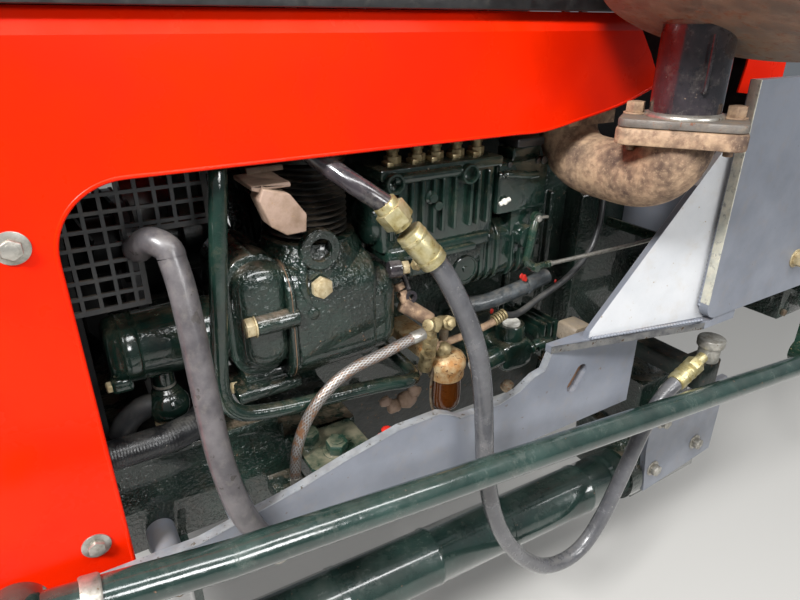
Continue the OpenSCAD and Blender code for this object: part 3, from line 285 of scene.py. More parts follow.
def makeSurface(name, look):
    # A layered finish: two tones in patches, specks, dust on what faces up, and relief
    coat, coatRoughness = look.get("coat", (0.0, 0.06))
    tree, shader = newMaterial(name, Metallic=look.get("metallic", 0.0), Specular_IOR_Level=look.get("specular", 0.5),
                               Coat_Weight=coat, Coat_Roughness=coatRoughness)
    place = addNode(tree, "TexCoord", "Object")
    tone, otherTone, size = look["tones"]
    noise = addNode(tree, "TexNoise", "Fac", {"Vector": place, "Scale": 1000 / size, "Detail": 5.0, "Roughness": 0.6})
    patches = addNode(tree, "MapRange", "Result", {"Value": noise, "From Min": 0.40, "From Max": 0.64})
    colour = addNode(tree, "Mix", 2, {0: patches, 6: linearOf(tone), 7: linearOf(otherTone)}, data_type="RGBA")
    smoothest, roughest = look["roughness"]
    roughness = addNode(tree, "MapRange", "Result", {"Value": patches, "To Min": smoothest, "To Max": roughest})
    if "speck" in look:
        # Specks of rust, chips or bare metal
        tone, size, start = look["speck"]
        soft, rough = look.get("speckEdge", (0.05, 0.7))
        noise = addNode(tree, "TexNoise", "Fac", {
            "Vector": place, "Scale": 1000 / size, "Detail": 3.0, "Roughness": 0.7})
        specks = addNode(tree, "MapRange", "Result", {"Value": noise, "From Min": start, "From Max": start + soft})
        colour = addNode(tree, "Mix", 2, {0: specks, 6: colour, 7: linearOf(tone)}, data_type="RGBA")
        roughness = addNode(tree, "Mix", 0, {0: specks, 2: roughness, 3: rough})
    if "dust" in look:
        # Dust lies on what faces up, and less so in patches elsewhere
        tone, size, onTop, aside = look["dust"]
        normal = addNode(tree, "NewGeometry", "Normal")
        facing = addNode(tree, "SeparateXYZ", "Z", {0: normal})
        upward = addNode(tree, "MapRange", "Result", {"Value": facing, "From Min": 0.35, "From Max": 0.95})
        noise = addNode(tree, "TexNoise", "Fac", {
            "Vector": place, "Scale": 1000 / size, "Detail": 6.0, "Roughness": 0.7})
        cloud = addNode(tree, "MapRange", "Result", {"Value": noise, "From Min": 0.42, "From Max": 0.66})
        lying = addNode(tree, "Math", 0, {0: upward, 1: cloud}, operation="MULTIPLY")
        above = addNode(tree, "Math", 0, {0: lying, 1: onTop}, operation="MULTIPLY")
        noise = addNode(tree, "TexNoise", "Fac", {
            "Vector": place, "Scale": 1000 / (size * 0.6), "Detail": 6.0, "Roughness": 0.75})
        smear = addNode(tree, "MapRange", "Result", {"Value": noise, "From Min": 0.52, "From Max": 0.72})
        beside = addNode(tree, "Math", 0, {0: smear, 1: aside}, operation="MULTIPLY")
        dust = addNode(tree, "Math", 0, {0: above, 1: beside}, operation="MAXIMUM")
        colour = addNode(tree, "Mix", 2, {0: dust, 6: colour, 7: linearOf(tone)}, data_type="RGBA")
        roughness = addNode(tree, "Mix", 0, {0: dust, 2: roughness, 3: 0.85})
    tree.links.new(colour, shader.inputs["Base Color"])
    tree.links.new(roughness, shader.inputs["Roughness"])
    # Relief: long waves of the casting or sheet, then its grain
    links = {}
    for size, depth, detail in look["relief"]:
        links["Height"] = addNode(tree, "TexNoise", "Fac", {
            "Vector": place, "Scale": 1000 / size, "Detail": detail, "Roughness": 0.6})
        links["Distance"] = depth / 1000
        links["Normal"] = addNode(tree, "Bump", "Normal", links)
    tree.links.new(links["Normal"], shader.inputs["Normal"])


def makeBraid(name, look):
    # Wire braid on UVs in metres: two crossing sets of strands, silver with orange rust between
    tree, shader = newMaterial(name, Metallic=0.75, Roughness=0.45)
    uv = addNode(tree, "TexCoord", "UV")
    place = addNode(tree, "TexCoord", "Object")
    around = addNode(tree, "SeparateXYZ", "X", {0: uv})
    along = addNode(tree, "SeparateXYZ", "Y", {0: uv})
    starts = addNode(tree, "Math", 0, {0: around, 1: float(look["starts"])}, operation="MULTIPLY")
    turns = addNode(tree, "Math", 0, {0: along, 1: 1000 / look["pitch"]}, operation="MULTIPLY")
    heights = []
    for sign in (1.0, -1.0):
        lay = addNode(tree, "Math", 0, {0: turns, 1: sign}, operation="MULTIPLY")
        phase = addNode(tree, "Math", 0, {0: starts, 1: lay}, operation="ADD")
        saw = addNode(tree, "Math", 0, {0: phase}, operation="FRACT")
        middle = addNode(tree, "Math", 0, {0: saw, 1: 0.5}, operation="SUBTRACT")
        heights.append(addNode(tree, "Math", 0, {0: middle}, operation="ABSOLUTE"))
    weave = addNode(tree, "Math", 0, {0: heights[0], 1: heights[1]}, operation="MAXIMUM")
    noise = addNode(tree, "TexNoise", "Fac", {
        "Vector": place, "Scale": 1000 / look["rustSize"], "Detail": 4.0, "Roughness": 0.7})
    rust = addNode(tree, "MapRange", "Result", {"Value": noise, "From Min": 0.5, "From Max": 0.62})
    strands = addNode(tree, "MapRange", "Result", {"Value": weave, "From Min": 0.2, "From Max": 0.5})
    gap, wire, rusty = (linearOf(look[key]) for key in ("gapTone", "wireTone", "rustTone"))
    wires = addNode(tree, "Mix", 2, {0: strands, 6: gap, 7: wire}, data_type="RGBA")
    colour = addNode(tree, "Mix", 2, {0: rust, 6: wires, 7: rusty}, data_type="RGBA")
    tree.links.new(colour, shader.inputs["Base Color"])
    bump = addNode(tree, "Bump", "Normal", {"Height": weave, "Distance": look["depth"] / 1000})
    tree.links.new(bump, shader.inputs["Normal"])


# Each finish, with sizes in millimetres: tones (tone, other tone, patch size), roughness (least, most), coat
# (weight, roughness), relief (size, depth, detail), speck (tone, size, from), speckEdge (softness, roughness) and
# dust (tone, size, amount on top, amount aside)
finishes = {
    # Gloss enamel sprayed on pressed steel: deep orange red, nearly smooth, with a little road dust
    "redEnamel": {"slot": "red_paint", "tones": ("#E42200", "#DA1C00", 140), "roughness": (0.24, 0.32),
        "specular": 0.14, "relief": ((90, 0.9, 1.0), (6, 0.02, 2.0)), "speck": ("#7A2413", 5, 0.76),
        "dust": ("#C98B6A", 90, 0.06, 0.0)},
    # Green-black enamel brushed thickly over sand castings: wet gloss on a lumpy surface, tan dust in patches
    "greenCasting": {"slot": "dark_green", "tones": ("#0E1B16", "#182A23", 60), "roughness": (0.12, 0.24),
        "coat": (0.8, 0.04), "relief": ((20, 3.2, 2.0), (5, 2.4, 2.0)), "speck": ("#6B4A30", 9, 0.7),
        "dust": ("#5E4C3C", 30, 0.7, 0.16)},
    # The same enamel where it lies smooth and wet over a drawn canister
    "wetGreen": {"slot": "dark_green", "tones": ("#10201B", "#182C25", 70), "roughness": (0.1, 0.18),
        "coat": (0.6, 0.04), "relief": ((34, 1.8, 2.0), (6, 0.5, 2.0)), "speck": ("#6B5A44", 6, 0.71),
        "dust": ("#7A6A55", 34, 0.3, 0.12)},
    # Cast iron cylinder under thin black paint, its fins dull with oil and dust
    "blackCasting": {"slot": "black_paint", "tones": ("#131514", "#1E201F", 26), "roughness": (0.36, 0.5),
        "coat": (0.1, 0.2), "relief": ((14, 1.2, 2.0), (3, 0.3, 3.0)), "speck": ("#6E5B47", 7, 0.66),
        "dust": ("#7A6A58", 18, 0.35, 0.22)},
    # Bolts whose yellow zinc has gone to a beige film
    "creamBolt": {"slot": "zinc_steel", "tones": ("#BFB190", "#9C8A66", 9), "roughness": (0.36, 0.5),
        "metallic": 0.35, "relief": ((2.4, 0.06, 2.0),), "speck": ("#6A5236", 5, 0.63),
        "dust": ("#A3937A", 12, 0.4, 0.3)},
    # The same enamel on machined and drawn steel, so it lies smoother
    "greenSteel": {"slot": "dark_green", "tones": ("#16291F", "#213A30", 90), "roughness": (0.18, 0.32),
        "coat": (0.6, 0.07), "relief": ((40, 0.9, 2.0), (6, 0.08, 3.0)), "speck": ("#8C7455", 6, 0.67),
        "dust": ("#8F8069", 45, 0.45, 0.2)},
    # Oily dark green on the engine behind, darker than the same enamel in front: partly grime and partly painted shade
    # of the bay's dark interior; dull, with dust and grime
    "greenGrimyPaintedShade": {"slot": "dark_green", "tones": ("#0B1310", "#131F1B", 70), "roughness": (0.35, 0.55),
        "specular": 0.35, "coat": (0.1, 0.2), "relief": ((22, 1.8, 2.0), (4, 0.4, 3.0)),
        "speck": ("#5A4532", 12, 0.62), "dust": ("#4E4236", 26, 0.65, 0.35)},
    # Blue-grey enamel over flame-cut plate: satin, stained brown along its edges
    "greyPlate": {"slot": "grey_paint", "tones": ("#757982", "#686C75", 120), "roughness": (0.34, 0.48),
        "coat": (0.2, 0.2), "relief": ((70, 0.8, 1.0), (4, 0.05, 3.0)), "speck": ("#5B4A3C", 10, 0.69),
        "dust": ("#8C7C68", 60, 0.35, 0.22)},
    # Near-black matt paint of what stands behind the screens: painted shade, the dark of the bay's interior laid into
    # its colour, so it gives almost nothing back
    "paintedShadeBlack": {"slot": "black_paint", "tones": ("#0C0D0E", "#131415", 60), "roughness": (0.45, 0.6),
        "specular": 0.25,
        "relief": ((30, 0.5, 2.0), (4, 0.1, 2.0)), "dust": ("#3A342C", 40, 0.4, 0.15)},
    # Black enamel: sheet and castings behind the grille
    "blackEnamel": {"slot": "black_paint", "tones": ("#1B1C1E", "#262829", 60), "roughness": (0.3, 0.45),
        "coat": (0.2, 0.06), "relief": ((30, 0.5, 2.0), (4, 0.05, 2.0)), "dust": ("#7A6C5A", 40, 0.5, 0.15)},
    # Stove-black pipe: high gloss with grey dust
    "blackPipe": {"slot": "black_paint", "tones": ("#262427", "#383236", 40), "roughness": (0.14, 0.28),
        "coat": (0.5, 0.06), "relief": ((18, 0.8, 2.0), (3, 0.08, 2.0)), "speck": ("#7D6A55", 8, 0.69),
        "dust": ("#8A8178", 30, 0.4, 0.25)},
    # Grey cast iron burnt by exhaust heat: light brown rust, mottled and pitted
    "rustyIron": {"slot": "rusty_cast_iron", "tones": ("#A88C70", "#7C6350", 12), "roughness": (0.6, 0.78),
        "relief": ((14, 1.0, 3.0), (3, 0.5, 3.0)), "speck": ("#4C3B32", 60, 0.46), "speckEdge": (0.2, 0.85),
        "dust": ("#BFA384", 9, 0.35, 0.7)},
    # Flange plate scorched grey, with rust along its joint
    "scorchedSteel": {"slot": "rusty_steel", "tones": ("#6E6963", "#585049", 22), "roughness": (0.5, 0.68),
        "metallic": 0.2, "relief": ((8, 0.6, 3.0), (2, 0.25, 3.0)), "speck": ("#6E4028", 8, 0.62),
        "dust": ("#A58E74", 22, 0.5, 0.35)},
    # Rolled steel drum rusted dark brown under old black paint
    "rustySheet": {"slot": "rusty_steel", "tones": ("#6E5D50", "#846A56", 34), "roughness": (0.45, 0.66),
        "metallic": 0.15, "relief": ((30, 0.8, 2.0), (3, 0.3, 3.0)), "speck": ("#7E5238", 16, 0.55),
        "speckEdge": (0.12, 0.8),
        "dust": ("#A39280", 36, 0.4, 0.5)},
    # Yellow-chromated zinc plating on turned steel fittings, dulled by dirt
    "zincPlate": {"slot": "zinc_steel", "tones": ("#B9B08A", "#958857", 12), "roughness": (0.32, 0.46),
        "metallic": 0.6, "relief": ((3, 0.05, 2.0),), "speck": ("#5C4A30", 6, 0.64),
        "dust": ("#7D6F55", 20, 0.3, 0.3)},
    # Bare or bright-zinc steel: bolts, washers, clips
    "brightSteel": {"slot": "zinc_steel", "tones": ("#B9B6AE", "#8F8B82", 10), "roughness": (0.32, 0.48),
        "metallic": 0.8, "relief": ((2, 0.04, 2.0),), "speck": ("#6E5236", 5, 0.66),
        "dust": ("#8C8070", 16, 0.3, 0.25)},
    # Steel pipe and nuts gone dull brown
    "dullSteel": {"slot": "zinc_steel", "tones": ("#6E6253", "#8A7C68", 16), "roughness": (0.42, 0.6),
        "metallic": 0.6, "relief": ((3, 0.08, 2.0),), "speck": ("#6A3F22", 7, 0.58),
        "dust": ("#7A6A55", 20, 0.4, 0.3)},
    # Turned brass with brown oxide
    "oldBrass": {"slot": "brass_and_glass", "tones": ("#A39470", "#7E6E4C", 12), "roughness": (0.34, 0.5),
        "metallic": 0.45, "relief": ((3, 0.06, 2.0),), "speck": ("#4A3B22", 6, 0.62),
        "dust": ("#8A7A5C", 18, 0.4, 0.3)},
    # Black rubber hose: wrapped cover with a dull sheen, dusty
    "blackRubber": {"slot": "rubber_hose", "tones": ("#232426", "#2E2F30", 30), "roughness": (0.38, 0.52),
        "relief": ((12, 0.25, 2.0), (1.6, 0.04, 2.0)), "speck": ("#8A857C", 5, 0.7),
        "dust": ("#6E6A62", 26, 0.35, 0.2)},
    # Weathered grey-black rubber
    "greyRubber": {"slot": "rubber_hose", "tones": ("#454244", "#5A5657", 26), "roughness": (0.3, 0.42),
        "coat": (0.25, 0.22), "relief": ((10, 0.3, 2.0), (1.6, 0.05, 2.0)), "speck": ("#3A3634", 14, 0.62),
        "dust": ("#8E877C", 22, 0.4, 0.2)},
    # Moulded breather housing under a coat of tan dust
    "dustyPlastic": {"slot": "dusty_plastic", "tones": ("#90796A", "#786250", 22), "roughness": (0.6, 0.8),
        "relief": ((16, 0.6, 2.0), (2.0, 0.08, 2.0)), "speck": ("#8A7058", 5, 0.64),
        "dust": ("#A8927C", 24, 0.7, 0.3)},
    # Sand-cast aluminium
    "castAluminium": {"slot": "bare_aluminium", "tones": ("#9A9B9A", "#838482", 24), "roughness": (0.45, 0.6),
        "metallic": 0.85, "relief": ((8, 0.2, 2.0), (1.5, 0.08, 2.0)), "dust": ("#7A7062", 26, 0.5, 0.3)},
    # Edge of the base bar where the paint is off: brushed dark steel
    "brushedEdge": {"slot": "grey_paint", "tones": ("#5E5F62", "#8B8B8A", 18), "roughness": (0.3, 0.42),
        "metallic": 0.8, "relief": ((3, 0.08, 2.0),), "speck": ("#4A3A2C", 9, 0.6),
        "dust": ("#6E6252", 30, 0.3, 0.3)},
    # Pale primer on the tower's gusset, lit and chalky, stained at its foot; its paleness over the grey plate's paint
    # is partly painted sunlight
    "paleAndSunlitGusset": {"slot": "grey_paint", "tones": ("#BFC0C2", "#B4B6B9", 90), "roughness": (0.42, 0.55),
        "coat": (0.1, 0.06), "relief": ((60, 0.6, 1.0), (4, 0.05, 2.0)), "speck": ("#8C7A62", 9, 0.68),
        "dust": ("#A89880", 60, 0.3, 0.25)},
    # The same enamel on tubes that hands and boots have scuffed: brown and bare streaks below
    "scuffedGreen": {"slot": "dark_green", "tones": ("#1B2B27", "#263A35", 90), "roughness": (0.14, 0.24),
        "coat": (0.8, 0.06), "relief": ((36, 1.2, 2.0), (6, 0.25, 3.0)), "speck": ("#6E4A36", 14, 0.69),
        "dust": ("#7F8078", 50, 0.12, 0.2)},
    # Hydraulic hose: smooth glossy black cover over its spiral wires, whose lay just shows; its tones are mid grey,
    # lighter than the black rubber, as a painted sheen
    "hydraulicRubberPaintedSheen": {"slot": "rubber_hose", "tones": ("#454548", "#555558", 40), "roughness": (0.2, 0.28),
        "coat": (0.5, 0.12), "relief": ((9, 0.4, 2.0), (2.4, 0.5, 1.0)), "speck": ("#9A958C", 5, 0.7),
        "dust": ("#8A867E", 24, 0.35, 0.14)},
    # Front edge of the loader tower, where paint has worn to pale chalk with yellow stain
    "wornEdge": {"slot": "grey_paint", "tones": ("#A9A99F", "#C9C5B4", 20), "roughness": (0.45, 0.6),
        "metallic": 0.1, "relief": ((5, 0.3, 3.0), (1.5, 0.15, 2.0)), "speck": ("#8A8A86", 8, 0.55),
        "speckEdge": (0.12, 0.7),
        "dust": ("#B7A67F", 16, 0.4, 0.35)},
    # Primer on small cast blocks, brown with dirt
    "primerBlock": {"slot": "rusty_cast_iron", "tones": ("#857A6C", "#6E6252", 18), "roughness": (0.5, 0.7),
        "relief": ((10, 0.6, 2.0), (2, 0.12, 2.0)), "speck": ("#5E4E3C", 6, 0.62),
        "dust": ("#A89880", 18, 0.5, 0.3)},
    # Rail edge rubbed through its blue-grey enamel to pale steel
    "rubbedGrey": {"slot": "grey_paint", "tones": ("#8A8E94", "#A3A6A9", 24), "roughness": (0.28, 0.42),
        "metallic": 0.35, "relief": ((6, 0.2, 2.0), (1.6, 0.06, 2.0)), "speck": ("#4E463C", 9, 0.62),
        "dust": ("#7E7262", 26, 0.35, 0.25)},
    # Steel rusted flat dark brown where no paint reaches
    "brownLining": {"slot": "dark_green", "tones": ("#7A5A42", "#5A4230", 9), "roughness": (0.7, 0.85),
        "relief": ((4, 0.3, 2.0),), "dust": ("#6E563F", 9, 0.4, 0.3)},
    # Chromed reflector of a lamp, bright but hazed
    "lampReflector": {"slot": "bare_aluminium", "tones": ("#D8DADB", "#C4C6C8", 30), "roughness": (0.12, 0.2),
        "metallic": 1.0, "relief": ((12, 0.1, 1.0),)},
    # Cloth-wrapped black rubber: satin, ringed by its wrap
    "wrappedRubber": {"slot": "rubber_hose", "tones": ("#141517", "#1E1F21", 22), "roughness": (0.3, 0.42),
        "coat": (0.1, 0.2), "relief": ((5, 0.5, 2.0), (1.8, 0.12, 2.0)), "speck": ("#7A756C", 5, 0.69),
        "dust": ("#6A665E", 22, 0.3, 0.16)},
    # Thick grey-black paint over a cast pipe, pebbled and dusty
    "pebbledGrey": {"slot": "grey_paint", "tones": ("#34393C", "#4A4F52", 12), "roughness": (0.3, 0.45),
        "coat": (0.3, 0.15), "relief": ((5, 0.9, 2.0), (1.6, 0.2, 2.0)), "dust": ("#7C7468", 14, 0.5, 0.3)},
    # Die-cast zinc head that leaking fuel has stained cream and orange-brown
    "stainedCasting": {"slot": "brass_and_glass", "tones": ("#BFA982", "#9C6E3C", 16), "roughness": (0.4, 0.6),
        "metallic": 0.3, "relief": ((8, 0.5, 2.0), (1.6, 0.08, 2.0)), "speck": ("#5A3A20", 7, 0.58),
        "dust": ("#A08A66", 14, 0.4, 0.3)},
    # Sundry small parts
    "redPaintDot": {"slot": "red_paint", "tones": ("#C4261A", "#A81E14", 8), "roughness": (0.4, 0.5),
        "relief": ((3, 0.1, 2.0),)},
    "whitePlastic": {"slot": "zinc_steel", "tones": ("#D8D6CE", "#C8C4B8", 8), "roughness": (0.35, 0.5),
        "relief": ((4, 0.05, 2.0),)},
    "blackPlastic": {"slot": "black_paint", "tones": ("#1A1A1B", "#242425", 14), "roughness": (0.4, 0.55),
        "relief": ((3, 0.03, 2.0),), "dust": ("#6E665A", 20, 0.35, 0.15)},
}
slotOf = {name: look.pop("slot") for name, look in finishes.items()}
for name, look in finishes.items():
    makeSurface(name, look)

# Clear moulded glass: fuel in the sediment bowl, and the lamps' lenses
newMaterial("amberGlass", Base_Color=linearOf("#6E3A12"), Roughness=0.06, Transmission_Weight=0.7, IOR=1.5)
newMaterial("clearGlass", Base_Color=linearOf("#F2F4F5"), Roughness=0.04, Transmission_Weight=0.95, IOR=1.5)
makeBraid("steelBraid", {"starts": 12, "pitch": 9, "rustSize": 16, "depth": 0.9,
                         "gapTone": "#6B5A4C", "wireTone": "#A5A6A6", "rustTone": "#8A6448"})
slotOf.update(amberGlass="brass_and_glass", clearGlass="lamp_glass", steelBraid="steel_braid")
print("materials made")


# Cords first: the free hoses, on the routes of the part's source in millimetres

hoses = {
    "hydraulicHose": {"diameter": 27, "finish": "hydraulicRubberPaintedSheen", "node": "hydraulic_hose", "sides": 28, "route": [
        (772, 370, 227), (757, 376, 207), (739, 385, 168), (722, 391, 125), (708, 395, 75),
        (699, 396, 20), (693, 396, -35), (688, 396, -90), (678, 396, -145), (664, 396, -200),
        (643, 396, -255), (612, 396, -310), (573, 396, -360), (527, 396, -398), (474, 396, -412),
        (430, 396, -397), (396, 396, -355), (370, 396, -300), (348, 396, -245), (326, 396, -190),
        (302, 396, -145), (275, 396, -117), (245, 396, -100)]},
    "greyHose": {"diameter": 29, "finish": "greyRubber", "node": "grey_hose", "sides": 28, "route": [
        (1052, 308, 262), (1049, 318, 232), (1048, 330, 190), (1048, 342, 145), (1048, 354, 100),
        (1047, 364, 55), (1043, 371, 15), (1036, 374, -25), (1024, 374, -62), (1008, 374, -95)]},
    "braidedHose": {"diameter": 15, "finish": "steelBraid", "node": "braided_hose", "sides": 24, "route": [
        (756, 325, 98), (788, 325, 92), (819, 326, 86), (856, 326, 79), (885, 326, 66),
        (910, 325, 44), (927, 321, 15), (937, 313, -22), (940, 303, -66), (940, 303, -94)]}}
for name, hose in hoses.items():
    piece = makePiece(name, hose["finish"], (tube, hose["route"], hose["diameter"] / 2, hose["sides"]), smooth=50,
                      replaces=hose["node"])
    route = smoothRoute(hose["route"])
    length = sum((b - a).length for a, b in zip(route, route[1:]))
    print(name, "is", round(length, 3), "m long")
print("cords made")


# Finishes of the CAD solids, and rounded copies of those that are cast or pressed

dressed = {
    "redEnamel": ("bonnet_top", "nose", "side_panel_left", "side_panel_right"),
    "greyPlate": ("rail_left", "rail_right", "tower_left", "tower_right", "lower_plate"),
    "blackEnamel": ("screen_left", "screen_right", "grille", "bulkhead"),
    # Radiator, shroud, posts, fan and pulleys behind the screens take the near-black painted shade
    "paintedShadeBlack": ("radiator", "fan_shroud", "panel_posts", "fan", "crank_pulley", "alternator_pulley"),
    "dullSteel": ("drive_shaft", "injection_pipes"),
    "rustyIron": ("exhaust_manifold",), "rustySheet": ("silencer",), "castAluminium": ("alternator",),
    "blackRubber": ("fan_belt",)}
for finish, nodes in dressed.items():
    for node in nodes:
        bpy.data.objects[node].data.materials[0] = bpy.data.materials[finish]

softened = (
    # node, radius of its edges, finish
    ("front_support", 4, "greenCasting"), ("clutch_housing", 5, "greenCasting"), ("engine_block", 4, "greenCasting"),
    ("rocker_cover", 4, "greenGrimyPaintedShade"), ("oil_sump", 5, "greenGrimyPaintedShade"), ("cylinder_head", 3, "greenGrimyPaintedShade"),
    ("timing_cover", 4, "greenCasting"), ("water_pump", 2, "greenGrimyPaintedShade"), ("starter", 2, "blackEnamel"),
    ("air_cleaner", 2, "blackEnamel"), ("steering_box", 4, "greenCasting"), ("drop_box", 5, "greenCasting"))
for node, radius, finish in softened:
    softenedCopy(node, radius, finish)
softenedCopy("pitman_arm", 2.5, "greenSteel", body="steering_arm")
print("solids dressed")


# Side panels: rolled edge round the engine bay opening, fixing bolts and the bonnet's black trim

panelLook = {
    "face": 325, "bayFront": 1153, "bayTop": 352, "corner": 70, "low": -98, "edge": 2.6,
    "bolts": [(1185, 302), (1185, -50), (1400, 302), (1400, -50)], "washer": 31, "flats": 17, "head": 7,
    "rear": {"Left": [(564, 352), (500, 362), (420, 377), (350, 399)],
             "Right": [(x, 352) for x in (500, 380, 260, 140, 30)]}}
p = panelLook
for side, sign in bothSides:
    # Along the opening's edge, from the front foot up, round the corner and to the rear
    edge = [(p["bayFront"], z) for z in (p["low"] + 3, 0, 100, 200, 262)]
    edge += [onCircle(p["corner"], turn, p["bayFront"] - p["corner"], p["bayTop"] - p["corner"])
             for turn in range(0, 100, 10)]
    edge += [(x, p["bayTop"]) for x in (1060, 1000, 900, 800, 700, 620)] + p["rear"][side]
    rim = [(x, sign * (p["face"] - 1.6), z) for x, z in edge]
    makePiece("panelRim" + side, "redEnamel", (tube, rim, p["edge"], 12, 8),
              smooth=50)
    makePiece("panelBolts" + side, "brightSteel", *[
        (bolt, (x, sign * p["face"], z), (0, sign, 0), p["flats"], p["head"], p["washer"])
        for x, z in p["bolts"]], smooth=30)

trimLook = {"rear": 27, "front": 1425, "low": 494.6, "high": 517, "sides": ((318, 328), (-328, -318))}
makePiece("bonnetTrim", "blackPlastic", *[
    (box, (trimLook["rear"], y0, trimLook["low"]), (trimLook["front"], y1, trimLook["high"]), 3)
    for y0, y1 in trimLook["sides"]], body="bonnet")

# Headlamps: chromed rim, reflector bowl, bulb and a ribbed lens
lampLook = {"y": 215, "z": 454, "rim": 79, "lens": 70, "depth": 34, "ribPitch": 14}
rim, lens, depth, pitch = (lampLook[key] for key in ("rim", "lens", "depth", "ribPitch"))
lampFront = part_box("headlamps")[1][0] * 1000
rimProfile = [(lens - 1, -24), (rim - 1, -24), (rim, -20), (rim - 1, -8), (rim - 4, -1), (lens + 1, 0), (lens - 1, -2)]
bowlProfile = ([(9, -depth)] + [(r, r * r / 165 - depth) for r in range(14, lens - 1, 8)]
               + [(lens, -5), (lens, -8), (40, -depth - 2), (9, -depth - 4)])
bulbProfile = [(0, -depth - 4), (9.4, -depth - 4), (9.4, -depth + 3), (6, -24), (6.4, -16), (4, -12), (0, -11)]
lensProfile = [(0, -1.5), (30, -2.2), (55, -3.8), (lens, -6), (lens, -3), (55, -0.8), (30, 0.8), (0, 1.5)]
for side, sign in bothSides:
    x, y, z = middle = (lampFront, sign * lampLook["y"], lampLook["z"])
    makePiece("lampRim" + side, "brightSteel", (hoop, rimProfile, middle, forward, 72), smooth=50,
              slot="bare_aluminium", replaces="headlamps")
    makePiece("lampReflector" + side, "lampReflector", (hoop, bowlProfile, middle, forward, 64), smooth=50)
    makePiece("lampBulb" + side, "whitePlastic", (turned, bulbProfile, middle, forward, 28), smooth=50,
              slot="bare_aluminium")
    ribs = []
    for rib in range(-4, 5):
        half = math.sqrt(lens ** 2 - (rib * pitch) ** 2) - 8
        out, beside = x - 2.6 - abs(rib) * 0.75, y + rib * pitch
        route = [(out - 1.2, beside, z - half), (out, beside, z), (out - 1.2, beside, z + half)]
        ribs.append((tube, route, 2.2, 10, 10))
    makePiece("lampLens" + side, "clearGlass", (turned, lensProfile, middle, forward, 72), *ribs, smooth=50)
print("panels finished")


# Exhaust: bends of the cast elbow, its clamped flanges, and the black pipe above

exhaustLook = {
    "x": 450, "innerY": 256, "outerY": 446, "radius": 43, "bendLow": 293, "flangeTop": 376, "split": 365,
    "flangeLow": 345, "halfLong": 74, "halfWide": 54, "corner": 14, "turn": 124, "boltAt": 58, "boltFlats": 21,
    "boltHead": 13, "washer": 28, "pipe": 41.7, "pipeTop": 480}
e = exhaustLook
flangeTurn = Matrix.Translation(mm(e["x"], e["outerY"], 0)) @ Matrix.Rotation(math.radians(e["turn"]), 4, "Z")


def onFlange(side, y, z):
    # Place on the flange's long axis, where a bolt stands on either side of the pipe
    return (flangeTurn @ mm(side * e["boltAt"], y, z)) * 1000


def flangePlate(bm, low, high, inset, edge):
    # Long flange plate across the pipe, with rounded corners
    half = Vector((e["halfLong"] - inset, e["halfWide"] - inset))
    bevelEdges(bm, edgesAlong(cube(bm, (*-half, low), (*half, high), flangeTurn), 2), e["corner"], 5)
    bevelEdges(bm, {x for f in bm.faces if abs(f.normal.z) > 0.9 and len(f.verts) > 12 for x in f.edges}, edge)


halfway = (e["innerY"] + e["outerY"]) / 2
elbowRoute = [(e["x"], y, z) for y, z in (
    (e["innerY"], 352), (e["innerY"], 340), (e["innerY"] + 6, 322), (e["innerY"] + 22, 304),
    (e["innerY"] + 50, e["bendLow"]), (halfway, e["bendLow"] - 2), (e["outerY"] - 50, e["bendLow"]),
    (e["outerY"] - 22, 304), (e["outerY"] - 6, 322), (e["outerY"], 340), (e["outerY"], e["flangeLow"] + 2))]
studs = []
for side in (-1, 1):
    # Nuts below the flange on their studs
    for top, foot, radius, sides in ((1, 9, 11.5, 6), (-8, 15, 6, 20)):
        studs.append((bar, onFlange(side, 6, e["flangeLow"] - foot), onFlange(side, 6, e["flangeLow"] + top),
                      radius, sides, 1))
makePiece("exhaustElbow", "rustyIron", (tube, elbowRoute, e["radius"], 48),
          (flangePlate, e["flangeLow"], e["split"], 0, 3.5), *studs, replaces="exhaust_elbow")
makePiece("exhaustUpperFlange", "scorchedSteel", (flangePlate, e["split"] + 0.8, e["flangeTop"], 1.5, 2),
          slot="rusty_cast_iron", replaces="exhaust_pipe")
makePiece("exhaustBolts", "rustyIron", *[
    (bolt, onFlange(side, 4, e["flangeTop"]), up, e["boltFlats"], e["boltHead"], e["washer"])
    for side in (-1, 1)], smooth=30)
makePiece("exhaustPipe", "blackPipe",
          (bar, (e["x"], e["outerY"], e["flangeTop"] - 1), (e["x"], e["outerY"], e["pipeTop"]), e["pipe"], 64),
          (tube, [(478, 486, 470), (479, 487, 440), (478, 486, 412), (474, 482, 408)], 2.2, 10, 4),
          replaces="exhaust_pipe")
# Weld ring at the pipe's foot in bright steel: a painted highlight for the bright ring that shines there
weldProfile = [(e["pipe"] + out, height) for out, height in ((-1, 0), (5, 0), (5.4, 2.4), (3, 5.4), (-1, 7))]
makePiece("exhaustWeldPaintedHighlight", "brightSteel", (hoop, weldProfile, (e["x"], e["outerY"], e["flangeTop"] - 0.5), up, 64),
          smooth=60, slot="rusty_steel")

# Silencer: rolled seams and welded long seam on its drum
drumLook = {"foot": (490, 502, 485), "lean": -20, "radius": 165, "length": 300}
foot, radius = Vector(drumLook["foot"]), drumLook["radius"]
drumUp = (Matrix.Rotation(math.radians(drumLook["lean"]), 3, "Y") @ Vector(up)).normalized()
seamSide = Vector((0.2, 1, 0)).normalized()
seamSide = (seamSide - drumUp * seamSide.dot(drumUp)).normalized()
low = foot + seamSide * (radius - 4.4)
seamProfile = [(radius + out, height) for out, height in ((-5, -5), (-1, -6), (2, -4), (2, 4), (-1, 6), (-5, 5))]
makePiece("silencerSeams", "scorchedSteel",
          *[(hoop, seamProfile, foot + drumUp * height, drumUp, 96) for height in (28, 20 + drumLook["length"])],
          (tube, [low + drumUp * height for height in (34, 170, 314)], 3.2, 10, 1.4, rippled(2.6, 0.5, 2 * math.pi)),
          smooth=50)
print("exhaust made")


